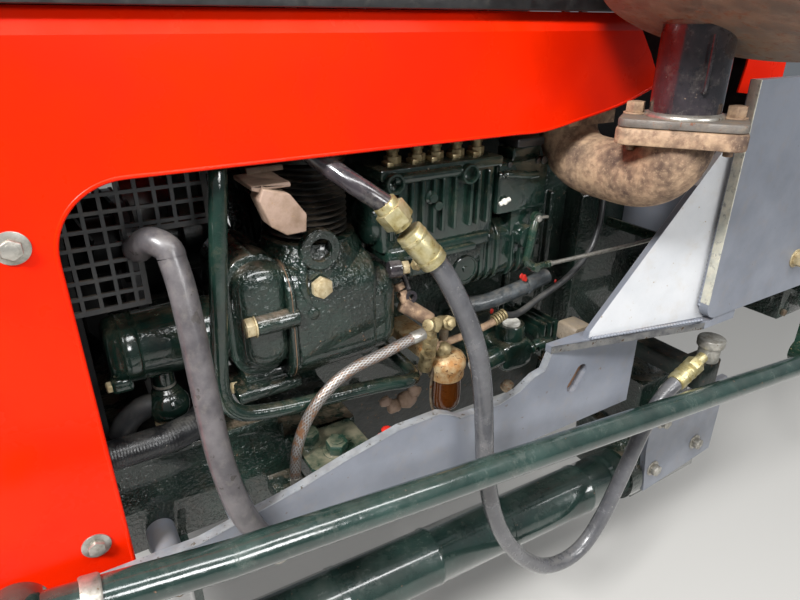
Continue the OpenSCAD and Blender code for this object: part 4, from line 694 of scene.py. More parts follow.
# Ends of the hydraulic hose: painted pipe, hexagon nut, crimped ferrule, and the banjo at the rear

fittingLook = {
    "pipe": [(935, 250, 405), (918, 270, 382), (877, 300, 341), (850, 334, 316), (822, 350, 294)],
    "pipeRadius": 12, "nutFlats": 34, "neck": 13, "ferrule": 17.5,
    "rear": (170, 396, -64), "rearNut": 30, "rearFerrule": 16.5, "cap": 24}
f = fittingLook


def ferrule(bm, start, ahead, radius, length, grooves):
    # Crimped sleeve with shallow rings pressed into it
    bar(bm, start, start + ahead * length, radius, 40, 1.5)
    for groove in range(grooves):
        middle = start + ahead * (length * (0.2 + 0.6 * groove / (grooves - 1)))
        bar(bm, middle - ahead * 2.2, middle + ahead * 2.2, radius + 0.7, 40, 0.6)


hoseRoute = [Vector(place) for place in hoses["hydraulicHose"]["route"]]
hoseStart, hoseEnd, pipeEnd, banjo = hoseRoute[0], hoseRoute[-1], Vector(f["pipe"][-1]), Vector(f["rear"])
ahead, rearward = (hoseStart - pipeEnd).normalized(), (banjo - hoseEnd).normalized()
makePiece("hydraulicPipe", "blackPipe", (tube, f["pipe"], f["pipeRadius"], 24), smooth=50)
makePiece("hydraulicNut", "zincPlate",
          (bar, pipeEnd - ahead * 4, pipeEnd + ahead * 8, 14.8, 32, 1),
          (bar, pipeEnd + ahead * 5, pipeEnd + ahead * 27, f["nutFlats"] / 2 / cosOfHexagon, 6, 1.2),
          (bar, pipeEnd + ahead * 26, pipeEnd + ahead * 33, f["neck"]),
          (ferrule, hoseStart - ahead * 44, ahead, f["ferrule"], 52, 2), smooth=30)
makePiece("rearHoseEnd", "zincPlate",
          (ferrule, hoseEnd - rearward * 10, rearward, f["rearFerrule"], 42, 3),
          (bar, hoseEnd + rearward * 31, hoseEnd + rearward * 48, f["rearNut"] / 2 / cosOfHexagon, 6, 1),
          (bar, hoseEnd + rearward * 47, banjo, 10, 24), smooth=30)
makePiece("rearBanjo", "brightSteel",
          (bar, banjo + Vector((0, 0, -18)), banjo + Vector((0, 0, 12)), 19, 36, 2),
          (bar, banjo + Vector((0, 0, 11)), banjo + Vector((0, 0, 28)), f["cap"], 36, 3), smooth=30)
makePiece("rearBlock", "greenGrimyPaintedShade", (box, (140, 362, -140), (196, 408, -81), 6),
          (box, (145, 170, -138), (190, 366, -100), 6), smooth=30, replaces="hydraulic_fittings")
makePiece("pipeBracket", "greenGrimyPaintedShade", (box, (840, 106, 400), (951, 262, 408), 1),
          (box, (919, 234, 392), (951, 262, 418), 3), smooth=30, replaces="hydraulic_fittings")

# Moulded elbow of the grey hose through the screen's edge, its lower ball fitting, and the braided hose's crimps
elbowPoints = [(1078, 259, 262), (1077, 268, 264), (1073, 279, 272), (1067, 290, 277), (1059, 300, 275),
               (1053, 306, 269), (1052, 308, 263)]
makePiece("greyHoseElbow", "greyRubber", (tube, elbowPoints, 14.8, 28, 4), replaces="grey_hose_ends")
makePiece("greyHoseFoot", "brightSteel", (ball, (996, 374, -119), 16),
          (bar, (1008, 374, -95), (998, 374, -116), 15.5, 32, 1), (bar, (996, 357, -119), (996, 374, -119), 10, 24))
braidStart, braidEnd = (Vector(hoses["braidedHose"]["route"][end]) for end in (0, -1))
makePiece("braidedHoseEnds", "brightSteel",
          (bar, braidStart + Vector((-6, 0, 1)), braidStart + Vector((14, 0, -2)), 8.5, 28, 1),
          (bar, braidEnd + Vector((0, 0, 16)), braidEnd + Vector((0, 0, -8)), 8.5, 28, 1), smooth=30)
print("hose ends made")


# Air compressor: crankcase with its seam, bearing dome, lifting eye, finned cylinder, head and breather

compressorLook = {
    "y": 212, "rear": 799, "seam": 920, "front": 988, "low": 54, "top": 212, "inner": 146, "outer": 290,
    "cylinderX": 862, "seat": 232, "cylinderTop": 330, "finRadius": 52, "finPitch": 7.9, "fins": 12,
    "eye": (878, 283, 231), "eyeRadius": 26, "eyeHole": 14, "bolt": (881, 288, 184)}
c = compressorLook


def eyeProfile(hole, radius, low, high):
    # Flat ring with eased rims, for a lifting eye
    return [(hole, low), (hole + 1, low - 1.5), (radius - 1.5, low - 1.5), (radius, low),
            (radius, high), (radius - 1.5, high + 1.5), (hole + 1, high + 1.5), (hole, high)]


makePiece(
    "compressorBody", "greenCasting",
    (block, (c["rear"] - 2, c["inner"], c["low"]), (c["seam"], c["outer"], c["top"]), 0, 40, 12, 8),
    (block, (766, c["inner"] + 4, c["low"] + 6), (c["rear"] + 24, c["outer"] - 1, 186), 0, 36, 22, 8),
    # Joint face between crankcase and bearing housing, a little proud
    (block, (c["seam"] - 4, c["inner"] - 1, c["low"] - 2), (c["seam"] + 5, c["outer"] + 2, c["top"] + 3), 0, 42, 2, 8),
    # Arched bearing housing in front of the seam, standing on a flange
    (block, (c["seam"] - 6, c["inner"], 76), (c["front"], 284, 224), 1, 34, 26, 9),
    (block, (c["seam"] - 2, c["inner"] + 2, 66), (c["front"] + 5, 262, 232), 1, 42, 5, 9),
    (block, (c["rear"] + 12, 180, c["top"] - 16), (c["seam"] - 8, 258, c["top"] + 6), 0, 18, 5, 4),
    (block, (c["rear"] + 4, 200, c["top"] - 40), (858, 274, c["top"] - 4), 0, 12, 4, 4),
    # Shoulder under the cylinder, and the boss that runs forwards along the housing
    (turned, [(0, -40), (74, -40), (70, -18), (64, -8), (61, -2), (61, 0), (0, 0)],
     (c["cylinderX"], c["y"], c["seat"]), up, 56),
    (turned, [(0, 0), (13, 0), (13.5, 4), (13, 52), (11, 55), (0, 55)], (913, 284, 149), forward, 28),
    # Lifting eye on its curved web
    (hoop, eyeProfile(c["eyeHole"], c["eyeRadius"], -5, 5), c["eye"], left, 44),
    (tube, [(890, 279, 238), (897, 280, 222), (901, 283, 204), (903, 286, 188), (899, 286, 170), (890, 284, 156)],
     6, 14, 3, lambda along: 4.5 + 2 * math.sin(min(1.0, along / 90) * math.pi)),
    (block, (862, 250, 190), (896, 286, 210), 1, 8, 3, 3),
    # Foot on the engine's side, and a shelf over it
    (block, (819, c["inner"], 42), (978, 252, 66), 0, 8, 6, 3),
    (block, (905, 180, 30), (992, 264, 48), 0, 6, 4, 3),
    (turned, [(0, 0), (8, 0), (8, 3), (6, 4.5), (0, 4.5)], (893, 288, 150), left, 24), replaces="compressor_case")
# Dirty line of the joint's gasket
makePiece("compressorGasket", "brownLining", (
    block, (c["seam"] + 0.2, c["inner"] - 1.5, c["low"] - 2.5), (c["seam"] + 0.9, c["outer"] + 2.4, c["top"] + 3.4),
    0, 42.4, 0, 8), slot="dark_green")
makePiece("compressorBolts", "creamBolt", (bolt, c["bolt"], left, 25, 9), (bolt, (967, 284, 149), forward, 23, 11, 28),
          (bolt, (985, 232, 40), (1, 0, 0.1), 15, 8), smooth=30)

# Cylinder with thin cast fins
profile = [(0, 0)]
for fin in range(c["fins"]):
    z, r = 4 + fin * c["finPitch"], c["finRadius"]
    profile += [(40, z - 1), (r - 0.8, z + 1), (r, z + 1.8), (r - 0.8, z + 2.6), (40, z + 4.4)]
profile += [(40, c["cylinderTop"] - c["seat"]), (0, c["cylinderTop"] - c["seat"])]
makePiece("compressorCylinder", "blackCasting", (turned, profile, (c["cylinderX"], c["y"], c["seat"]), up, 64),
          replaces="compressor_cylinder")
softenedCopy("compressor_head", 4, "greenGrimyPaintedShade")
softenedCopy("intake_cap", 3, "dustyPlastic", segments=3)

# Union, cap and pipe clip at the crankcase's rear
makePiece("rearUnion", "blackPipe",
          (turned, [(0, 0), (11, 0), (12, 2), (12, 16), (9, 18), (0, 18)], (776, 276, 180), (-1, 0.2, 0), 24),
          (hoop, [(4.5, -4), (9, -4), (9, 4), (4.5, 4)], (741, 275, 132), (0, 1, 0.2), 24),
          (tube, [(741, 271, 141), (742, 262, 155), (748, 250, 170)], 4, 10))
makePiece("rearUnionNut", "creamBolt", (bolt, (758, 279, 180), (-1, 0.2, 0), 17, 10), smooth=30)
print("compressor made")


# Steering pump: smooth canister with two weld seams, elbow and ball below it, and the wrapped lower water hose

pumpLook = {"y": 212, "z": 125, "rear": 973, "front": 1130, "radius": 43, "seams": (1094, 1112), "elbowX": 1072}
q = pumpLook
length, r = q["front"] - q["rear"], q["radius"]
profile = [(0, 0), (r + 6, 0), (r + 6, 9), (r, 12)]
for seam in q["seams"]:
    spot = seam - q["rear"]
    profile += [(r, spot - 2.2), (r + 1.6, spot), (r, spot + 2.2)]
profile += [(r - 0.4, length - 12), (r - 3, length - 5), (r - 9, length - 1), (r - 16, length), (0, length + 1)]
makePiece("steeringPump", "wetGreen", (turned, profile, (q["rear"], q["y"], q["z"]), forward, 64),
          (block, (1108, 222, 84), (1132, 248, 104), 0, 6, 4, 4),
          (turned, [(0, 0), (13, 0), (13, 24), (17, 28), (17, 38), (0, 38)], (q["elbowX"], 220, 88), down, 32),
          (ball, (q["elbowX"], 222, 38), 26, 40, 24), replaces="steering_pump")
capProfile = [(0, 0), (20, 0), (22, 2), (22, 7), (20, 9), (0, 9)]
makePiece("pumpCap", "creamBolt", (turned, capProfile, (q["elbowX"] - 2, 224, 20), (0.1, 0.1, -1), 32),
          (bolt, (1130, 240, 94), (1, 0.1, 0), 13, 7))
makePiece("pumpInletHose", "blackRubber",
          (tube, [(1084, 221, 41), (1097, 218, 41), (1111, 216, 35), (1124, 215, 23), (1133, 215, 6)], 15.5, 24, 4),
          smooth=50)
makePiece("pumpNeckRing", "brightSteel",
          (turned, [(0, 0), (14.2, 0), (14.2, 3), (0, 3)], (q["elbowX"], 220, 70), down, 32))

waterHose = {
    "radius": 18, "upperRadius": 24, "ripple": 0.22, "cordStep": 3.4,
    "lower": [(1190, 276, 25), (1150, 276, 25), (1110, 276, 25), (1078, 274, 25), (1048, 262, 25),
              (1026, 236, 26), (1013, 205, 27), (1006, 170, 28), (999, 138, 30), (991, 108, 30), (978, 88, 30),
              (959, 88, 30)],
    "upper": [(1001, 0, 304), (1016, 0, 304), (1038, 0, 324), (1054, 0, 352), (1078, 0, 380),
              (1110, 0, 396), (1160, 0, 405), (1190, 0, 405)],
    "clips": [(1168, 276, 25, 18.6), (969, 88, 30, 18.6), (1178, 0, 405, 24.6), (1009, 0, 304, 24.6)]}
w = waterHose
makePiece("lowerWaterHose", "wrappedRubber",
          (tube, w["lower"], w["radius"], 28, 1.1, rippled(w["radius"], w["ripple"], w["cordStep"])),
          smooth=60, replaces="water_hoses")
makePiece("upperWaterHose", "blackRubber", (tube, w["upper"], w["upperRadius"], 36, 5), smooth=60,
          replaces="water_hoses")
clips = []
for x, y, z, r in w["clips"]:
    # Worm-drive clips
    clips.append((hoop, [(r, -6), (r + 0.9, -6), (r + 0.9, 6), (r, 6)], (x, y, z), forward, 36))
    clips.append((bar, (x, y - 10, z + r + 3), (x, y + 10, z + r + 3), 3.8, 16, 0.6))
makePiece("waterHoseClips", "brightSteel", *clips)
print("steering pump and water hoses made")


# Injection pump: deck with its delivery valve holders, ribbed housing, two ringed eyes, governor and lever

injectionLook = {
    "rear": 593, "front": 783, "inner": 201, "outer": 277, "deckLow": 300, "deckTop": 314, "foot": 186,
    "holders": (748, 710, 680, 645, 610), "holderY": 239,
    "ribs": (771, 757, 738, 721, 703, 688, 668, 641, 628, 611), "ribLow": 219, "ribTop": 296,
    "eyes": ((770, 297), (652, 296)), "eyeRadius": 14, "eyeHole": 9.5}
j = injectionLook
rear, front, inner, outer, deckTop = (j[key] for key in ("rear", "front", "inner", "outer", "deckTop"))
eyes = []
for x, z in j["eyes"]:
    ring = [(j["eyeHole"], -12), (j["eyeHole"] + 1, -13.5), (j["eyeRadius"] - 1, -13.5), (j["eyeRadius"], -12),
            (j["eyeRadius"], 6), (j["eyeRadius"] - 1, 7.5), (j["eyeHole"] + 1, 7.5), (j["eyeHole"], 6)]
    eyes += [(hoop, ring, (x, 279, z), left, 36), (bar, (x, 266, z), (x, 274, z), 9.8, 24)]
makePiece(
    "injectionBody", "wetGreen",
    (block, (rear, inner, 200), (front, outer - 9, j["deckLow"] + 4), 2, 8, 3, 3),
    (block, (rear - 3, inner + 4, j["deckLow"]), (front + 4, outer, deckTop), 1, 3, 2, 3),
    (block, (rear + 8, inner, j["foot"]), (front - 8, outer - 4, 203), 2, 6, 3, 3),
    (block, (632, 255, 184), (690, 280, 193), 1, 2, 2, 2),
    *[(block, (x - 3, outer - 12, j["ribLow"]), (x + 3, outer - 1, j["ribTop"]), 2, 2.2, 1.8, 2) for x in j["ribs"]],
    # Rail under the deck with fine grooves, between the eyes
    (turned, [(0, 0), (8, 0), (8, 104), (0, 104)], (664, 275, 301), forward, 20), *eyes,
    # Fuel gallery plug cluster, and the drive flange beside the compressor
    (turned, [(0, 0), (9, 0), (9, 6), (6, 8), (6, 12), (0, 12)], (709, 270, 270), left, 28),
    (turned, [(0, 0), (6, 0), (6, 9), (0, 9)], (700, 272, 258), left, 20),
    (turned, [(0, 0), (34, 0), (34, 4), (30, 10), (22, 14), (0, 14)], (front - 1, 231, 238), forward, 48),
    # Box of the full-load stop behind
    (block, (497, 215, 226), (592, 272, 302), 1, 6, 4, 3), (block, (506, 226, 300), (560, 262, 318), 1, 4, 3, 3),
    (tube, [(592, 270, 285), (570, 275, 284), (545, 276, 280), (520, 272, 278)], 6, 14, 4), replaces="injection_pump")
makePiece("stopBoxCover", "blackEnamel", (block, (503, 222, 318), (556, 266, 331), 1, 4, 3, 3),
          *[(bar, (x, 268, 298), (x, 274, 298), r, 18, 0.6) for x, r in ((520, 4), (508, 6), (574, 4))])
holders = []
for x in j["holders"]:
    # Hexagon foot, clamp and slim upper nut of each delivery valve holder
    y = j["holderY"]
    holders += [(bolt, (x, y, deckTop - 1), up, 21, 10), (bar, (x, y, deckTop + 8), (x, y, deckTop + 18), 7.5, 24),
                (bolt, (x, y, deckTop + 14), up, 16, 12),
               (box, (x + 9, y + 2, deckTop - 1), (x + 19, y + 20, deckTop + 5), 1.5)]
makePiece("deliveryHolders", "oldBrass", *holders, smooth=30)
# Stop screw and its rod in white: a painted glint on the nut
makePiece("stopScrewPaintedGlint", "whitePlastic", (bolt, (583, 276, 247), (0.2, 1, 0.1), 9, 5),
          (bar, (590, 275, 243), (574, 279, 250), 3.5, 14, 0.8), smooth=30)

# Governor: banded housing, round inspection cover and the speed lever with its rod
makePiece(
    "governorBody", "wetGreen", (block, (497, 205, 116), (634, 262, 210), 0, 30, 10, 7),
    *[(block, (x - 3.5, 203, 113), (x + 3.5, 266, 213), 0, 30, 2, 7) for x in (512, 530, 548, 578, 594, 609)],
    (block, (497, 208, 178), (556, 264, 236), 0, 12, 6, 4),
    (turned, [(0, 0), (21, 0), (21, 5), (20, 6), (18.5, 6), (18, 4.6), (5, 4.6), (4.4, 7), (0, 7)],
     (640, 262, 150), left, 44),
    (block, (616, 206, 120), (668, 262, 186), 1, 20, 4, 5), (block, (513, 130, 186), (553, 225, 214), 1, 4, 2, 2),
    (bar, (530, 255, 184), (530, 280, 184), 18, 32, 2), replaces="governor")
leverLook = {"pivot": (521, 281, 214), "elbow": (536, 286, 160), "ball": (524, 291, 137)}
pivot, elbow, socket = (leverLook[key] for key in ("pivot", "elbow", "ball"))
makePiece("speedLever", "greenSteel",
          (tube, [pivot, (528, 284, 196), (531, 285, 178), elbow, (538, 287, 148), (524, 289, 138)], 6.2, 14, 4),
          (turned, [(0, -4), (9, -4), (9.5, 0), (9, 4), (0, 4)], pivot, left, 28),
          (turned, [(0, -7), (6, -7), (7.4, 0), (6, 7), (0, 7)], socket, left, 24),
          (bar, (520, 290, 137), (497, 289, 136), 5.5, 20, 0.8), (bolt, (499, 289, 136), back, 11, 8))
makePiece("throttleRod", "brightSteel",
          (tube, [(494, 289, 136), (400, 287, 133), (300, 286, 131), (219, 286, 131)], 3.4, 12, 20),
          (bolt, (492, 289, 136), back, 9, 6), (bolt, (pivot[0], pivot[1] + 4, pivot[2]), left, 10, 5),
          (bar, (512, 283, 214), (500, 284, 213), 2.4, 12), smooth=30)
makePiece("rodBracket", "greenSteel", (block, (218, 146, 122), (224, 294, 140), 0, 3, 1, 2), smooth=30)

# Pipes and cable that cross below the governor
makePiece("crossTube", "pebbledGrey",
          (tube, [(612, 236, 72), (580, 246, 74), (540, 250, 80), (500, 250, 86), (452, 246, 92)], 13, 22),
          (hoop, [(12, -3), (15, -3), (15, 3), (12, 3)], (500, 250, 86), (-1, -0.05, 0.12), 28), smooth=50)
makePiece("leakPipe", "rustyIron", (tube, [(700, 286, 47), (660, 286, 50), (620, 286, 54), (592, 285, 59)], 5.8),
          (bolt, (700, 286, 47), forward, 14, 7), smooth=50)
makePiece("pipeSpring", "oldBrass", *[
    (hoop, [(5, -1.6), (8.6, -1.6), (9.2, 0), (8.6, 1.6), (5, 1.6)], (592 - 4.6 * turn, 284.5, 60 + 1.6 * turn),
     (-1, 0, 0.32), 20) for turn in range(5)], smooth=50)
makePiece("fuelLine", "blackRubber",
          (tube, [(575, 284, 65), (538, 278, 56), (480, 268, 68), (415, 262, 88), (366, 258, 123),
                  (347, 254, 160), (338, 248, 198), (331, 238, 236)], 5.5, 14), smooth=50)
makePiece("paintSplashes", "redPaintDot", *[
    (ball, (x, y, z), r, 12, 8, (1, 0.3, 1.2)) for x, y, z, r in (
        (516, 262, 108, 5), (522, 262, 112, 4), (512, 262, 104, 3.4), (560, 240, 50, 4), (440, 258, 84, 2.6))],
    smooth=60)
print("injection pump and governor made")


# Fuel filter: die-cast head with banjo unions, stained by fuel, over its amber bowl and wire bail

filterLook = {"place": (682, 285, 0), "headLow": -10, "headTop": 34}
place, low = filterLook["place"], filterLook["headLow"]
headProfile = [(0, low), (26, low), (27.5, low + 3), (27.5, 6), (30, 10), (30, 20), (26, 27), (15, 33),
               (0, filterLook["headTop"])]
makePiece("fuelHead", "stainedCasting", (turned, headProfile, place, up, 44),
          (block, (658, 262, 2), (706, 300, 30), 2, 10, 6, 4),
          (block, (660, 130, 4), (704, 268, 24), 1, 4, 2, 3), replaces="fuel_filter")
bowlProfile = [(0, -66), (12, -66), (19, -63), (23, -55), (24, -40), (24, -14), (25, -10), (0, -10)]
makePiece("fuelBowl", "amberGlass", (turned, bowlProfile, place, up, 44), smooth=50)
# Stem inside the bowl, wire bail and its thumb nut
bailRoute = [(711, 292, 16), (713, 291, -10), (712, 290, -40), (704, 288, -66), (682, 285, -76),
             (660, 282, -66), (652, 280, -40), (651, 279, -10), (653, 278, 16)]
makePiece("bowlBail", "dullSteel", (bar, (place[0], place[1], -60), (place[0], place[1], -8), 8, 20),
          (tube, bailRoute, 2.2, 10, 4),
          (turned, [(0, -66), (8, -66), (9, -69), (9, -76), (5, -78), (0, -78)], place, up, 24))

# Banjo unions that stack over the head
unions = []
for place, axis, flats in (((716, 290, 62), (0.1, 0.2, 1), 19), ((722, 292, 36), (0, 0.3, 1), 21),
                           ((688, 291, 84), (0.1, 0.9, 0.4), 20)):
    middle, ahead = Vector(place), Vector(axis).normalized()
    unions += [(bolt, place, axis, flats, 10), (bar, middle - ahead * 22, middle + ahead, 10.5, 28, 1.2),
               (bar, middle + ahead * 9, middle + ahead * 16, 6.2, 20, 1.2)]
makePiece("banjoUnions", "oldBrass", *unions, (ball, (692, 290, 40), 13, 28, 16),
          (bolt, (727, 310, 101), (-0.8, 0.3, -0.4), 20, 11), (bar, (738, 316, 104), (716, 305, 93), 8.8, 28, 1),
          (bolt, (742, 290, 183), (0, 0.4, 0.6), 15, 12), smooth=30)
makePiece("rustedUnion", "rustyIron", (bar, (752, 270, 122), (712, 284, 92), 12, 28, 1.5, 10.5),
          (tube, [(754, 262, 150), (748, 272, 128), (742, 276, 118), (733, 280, 108)], 8, 16, 4))
makePiece("fuelPipes", "dullSteel", (tube, [(688, 284, 40), (686, 282, 62), (687, 286, 84)], 7, 16, 4),
          (tube, [(718, 288, 20), (712, 284, 8), (700, 276, 4)], 7, 16, 4), smooth=50)

# Oil filter bracket: ribbed green casting, pale plug, and the side oil line's round end
makePiece(
    "filterBracket", "wetGreen", (block, (482, 130, -64), (582, 222, 8), 1, 10, 6, 4),
    (block, (492, 214, -54), (560, 278, -2), 1, 16, 8, 5),
    (turned, [(0, -14), (25, -14), (25.5, -10), (25, 18), (23, 22), (0, 22)], (524, 248, 0), up, 40),
    (turned, [(0, 0), (17, 0), (17, 40), (15, 44), (0, 44)], (559, 262, -24), (1, 0.12, 0), 36),
    *[(block, (x - 3, 150, -70), (x + 3, 246, -4), 1, 12, 2, 4) for x in (440, 424, 408)],
    (block, (404, 148, -66), (446, 240, -8), 1, 14, 6, 5),
    (tube, [(500, 276, -20), (478, 282, -14), (456, 280, -22), (446, 270, -44)], 11, 18, 4), replaces="oil_filter")
plugLook = {"place": (602, 267, -24), "axis": (0.8, 0.6, 0)}
plugRing = [(12, 0), (17.4, 0), (18, 1.4), (18, 3.6), (17.2, 5), (12.6, 5), (12, 3.6)]
makePiece("filterPlug", "whitePlastic",
          (turned, [(0, 21), (14, 21), (15, 22), (15, 26), (13, 28), (0, 28)], (524, 250, 0), up, 32),
          (hoop, plugRing, plugLook["place"], plugLook["axis"], 40))
makePiece("redPlug", "redPaintDot",
          (turned, [(0, 0), (12, 0), (12, 4), (9, 5.4), (0, 5.4)], plugLook["place"], plugLook["axis"], 36))
makePiece("sumpBolts", "dullSteel", *[
    (bolt, (x, y, z), axis, 19, 10, 26) for x, y, z, axis in (
        (521, 250, -107, (0, 0.3, 1)), (887, 225, -96, (0, 0.3, 1)), (833, 225, -128, (0, 0.3, 1)),
        (430, 245, -76, (0, 0.3, 1)), (760, 131, -96, left), (640, 131, -96, left))], smooth=30)
print("filters made")


# Steel pipe that loops round the compressor, and the steering drag link with its collar and ball sockets

steelPipeRoute = [
    (892, 100, 350), (920, 100, 350), (958, 140, 360), (976, 205, 370), (983, 260, 366), (990, 290, 342),
    (1001, 300, 270), (1010, 302, 200), (1018, 303, 130), (1021, 303, 92), (1016, 303, 64), (1000, 303, 47),
    (972, 303, 39), (927, 303, 33), (860, 303, 28), (800, 303, 22), (764, 301, 14), (740, 284, 6), (728, 240, 0),
    (727, 180, 0), (727, 130, 0)]
makePiece("steelPipe", "wetGreen", (tube, steelPipeRoute, 10, 24), smooth=50, replaces="steel_pipe")

linkLook = {"radius": 19.5, "rear": (-150, 448, -151), "bend": (1065, 448, -22.2), "front": (1250, 448, 8.8),
            "eyeHole": 9, "collar": 1196}
rear, bend, front = (Vector(linkLook[key]) for key in ("rear", "bend", "front"))
ahead, r, hole = (front - bend).normalized(), linkLook["radius"], linkLook["eyeHole"]
makePiece(
    "dragLink", "scuffedGreen", (bar, rear, bend, r, 56), (bar, bend, front, r, 56), (ball, bend, r + 0.2, 48, 24),
    (turned, [(0, -18), (24, -18), (26, -15), (26, 15), (24, 18), (11, 20), (0, 20)], rear, left, 44),
    (hoop, [(hole, -20), (24, -20), (26, -17), (26, 17), (24, 20), (hole, 20)], front, left, 44),
    (bar, (-150, 399, -151), (-150, 440, -151), 11, 28, 1), body="steering_link", replaces="drag_link")
# Clamp collar of the adjustable end
makePiece("dragLinkCollars", "brightSteel",
          (hoop, [(19, -9), (21.6, -9), (22.6, -7), (22.6, 7), (21.6, 9), (19, 9)],
           bend + ahead * (linkLook["collar"] - bend.x), ahead, 48),
          (bolt, rear + Vector((0, 20, 0)), left, 22, 12), body="steering_link")

# Guard of the front drive shaft: tube with rolled beads, hanger, and a band clip
guardLook = {"low": (251, 300, -382), "slope": 2.8, "radius": 48, "length": 900, "beads": (100, 460), "wall": 5,
             "clips": (40, 300, 640), "bore": 20.6, "hanger": 67}
low, r, length = Vector(guardLook["low"]), guardLook["radius"], guardLook["length"]
inner = r - guardLook["wall"]
x, z = onCircle(1, guardLook["slope"])
ahead = Vector((x, 0, z))
profile = [(inner, 0), (r - 1, 0), (r, 1.5)]
for bead in guardLook["beads"]:
    profile += [(r, bead), (r + 1.4, bead + 2), (r + 1.4, bead + 8), (r, bead + 10)]
profile += [(r, length - 1.5), (r - 1, length), (inner, length)]
bore, x = guardLook["bore"], low.x + length - guardLook["hanger"]
makePiece(
    "shaftGuard", "scuffedGreen", (hoop, profile, low, ahead, 72),
    *[(hoop, [(bore, 0), (r - 3, 0), (r - 3, depth), (bore, depth)], low + ahead * end, ahead, 48)
      for end, depth in ((2, 4), (length - 2, -4))],
    (box, (x, 225, low.z + 41), (x + 12, 316, -140), 3), (box, (x, 225, -150), (x + 50, 265, -140), 3),
    replaces="drive_guard")
makePiece("guardClips", "scuffedGreen", *[
    (hoop, [(r - 0.4, -6), (r + 1.2, -6), (r + 1.2, 6), (r - 0.4, 6)], low + ahead * clip, ahead, 72)
    for clip in guardLook["clips"]])
print("link and guard made")


# Loader tower: pale gusset, partly painted sunlight; weathered front edge, weld beads and bolts; brushed edge of its
# base plate

towerLook = {
    "face": 430, "inner": 416, "frontX": 268, "low": 38, "top": 410, "baseTop": 32, "gussetTip": (473, 366, 0),
    "gussetEnd": (222, 416, 0), "sheetBack": -11.2, "baseEdge": ((537, 357.4, 26), (262, 427.6, 26), 1.2, 11.6)}
t = towerLook


def weld(bm, start, end, radius, pitch=5.0):
    # Weld bead whose radius ripples along it
    start, end = Vector(start), Vector(end)
    tube(bm, [start, (start + end) / 2, end], radius, 10, 1.4, rippled(radius * 0.86, radius * 0.14, pitch))


def mirrored(place, sign):
    return Vector((place[0], place[1] * sign, place[2]))


def sideBox(low, high, sign):
    # Two corners of a box on the left, or of its mirror image on the right
    ys = sorted((low[1] * sign, high[1] * sign))
    return (low[0], ys[0], low[2]), (high[0], ys[1], high[2])


tip, end = Vector(t["gussetTip"]), Vector(t["gussetEnd"])
length, ahead = (tip - end).length, (tip - end).normalized()
out = Vector((-ahead.y, ahead.x, 0))
for side, sign in bothSides:
    # Pale sheet over the gusset's outer face: partly paler primer, partly painted sunlight
    bm = bmesh.new()
    corners = [(1, 0.4), (length - 5, 0.4), (length - 6, 11.5), (46.5, 295), (34.5, 301), (1, 301)]
    face = [bm.verts.new(mm(*mirrored(end + ahead * along + out * 0.4 + Vector((0, 0, t["baseTop"] + height)), sign)))
            for along, height in corners]
    made = bmesh.ops.extrude_face_region(bm, geom=[bm.faces.new(face)])["geom"]
    bmesh.ops.translate(bm, vec=mm(*mirrored(out * t["sheetBack"], sign)),
                        verts=[v for v in made if isinstance(v, bmesh.types.BMVert)])
    newPiece("paleAndSunlitGussetSheet" + side, bm, "paleAndSunlitGusset", smooth=30)
    # Strip along the outer plate's front edge, worn pale
    faces = (t["inner"], t["face"]) if sign > 0 else (-t["face"], -t["inner"])
    edgeLow = (t["frontX"] - 2, faces[0] - 0.4, t["low"] + 28)
    edgeHigh = (t["frontX"] + 0.5, faces[1] + 0.4, t["top"] + 0.4)
    makePiece("towerEdge" + side, "wornEdge", (box, edgeLow, edgeHigh, 0.4), smooth=30)
    makePiece("towerWelds" + side, "greyPlate", *[
        (weld, mirrored(start, sign), mirrored(last, sign), radius, pitch) for start, last, radius, pitch in (
            ((265, 414, 60), (258, 414, 326), 4.6, 7.0), ((258, 414, 326), (252, 414, 338), 4, 5.0),
            ((262, 421, t["baseTop"] + 2), (468, 372, t["baseTop"] + 2), 3, 6.0),
            ((186, t["inner"] - 1, t["low"] + 1), (250, t["inner"] - 1, t["low"] + 1), 3.6, 5.0))], smooth=60)
    makePiece("towerBolts" + side, "creamBolt", *[
        (bolt, (x, t["face"] * sign, z), (0, sign, 0), 24, 13, 34) for x, z in ((29, 101), (-40, 101), (-40, 190))],
        smooth=30)
    # Brushed edge of the base plate, and the brown plate behind the slotted hole
    first, last, thickness, height = t["baseEdge"]
    first, last = mirrored(first, sign), mirrored(last, sign)
    across = (last - first).normalized()
    normal = Vector((across.y, -across.x, 0))
    normal = normal if normal.y * sign > 0 else -normal
    turn = Matrix((across, normal, Vector(up))).transposed().to_4x4()
    size = Vector(((last - first).length, thickness, height)) / 2
    makePiece("baseEdge" + side, "brushedEdge",
              (cube, -size, size, Matrix.Translation(mm(*(first + last) / 2)) @ turn), smooth=30)
    makePiece("slotBack" + side, "brownLining",
              (block, *sideBox((444, 342.6, -80), (497, 344.9, -13), sign), 1, 12, 0.5, 4), smooth=30,
              slot="rusty_steel")
    makePiece("railBolts" + side, "dullSteel", *[
        (bolt, (x, 357 * sign, -117), (0, sign, 0), 22, 12, 32) for x in (1015, 1115)], smooth=30)

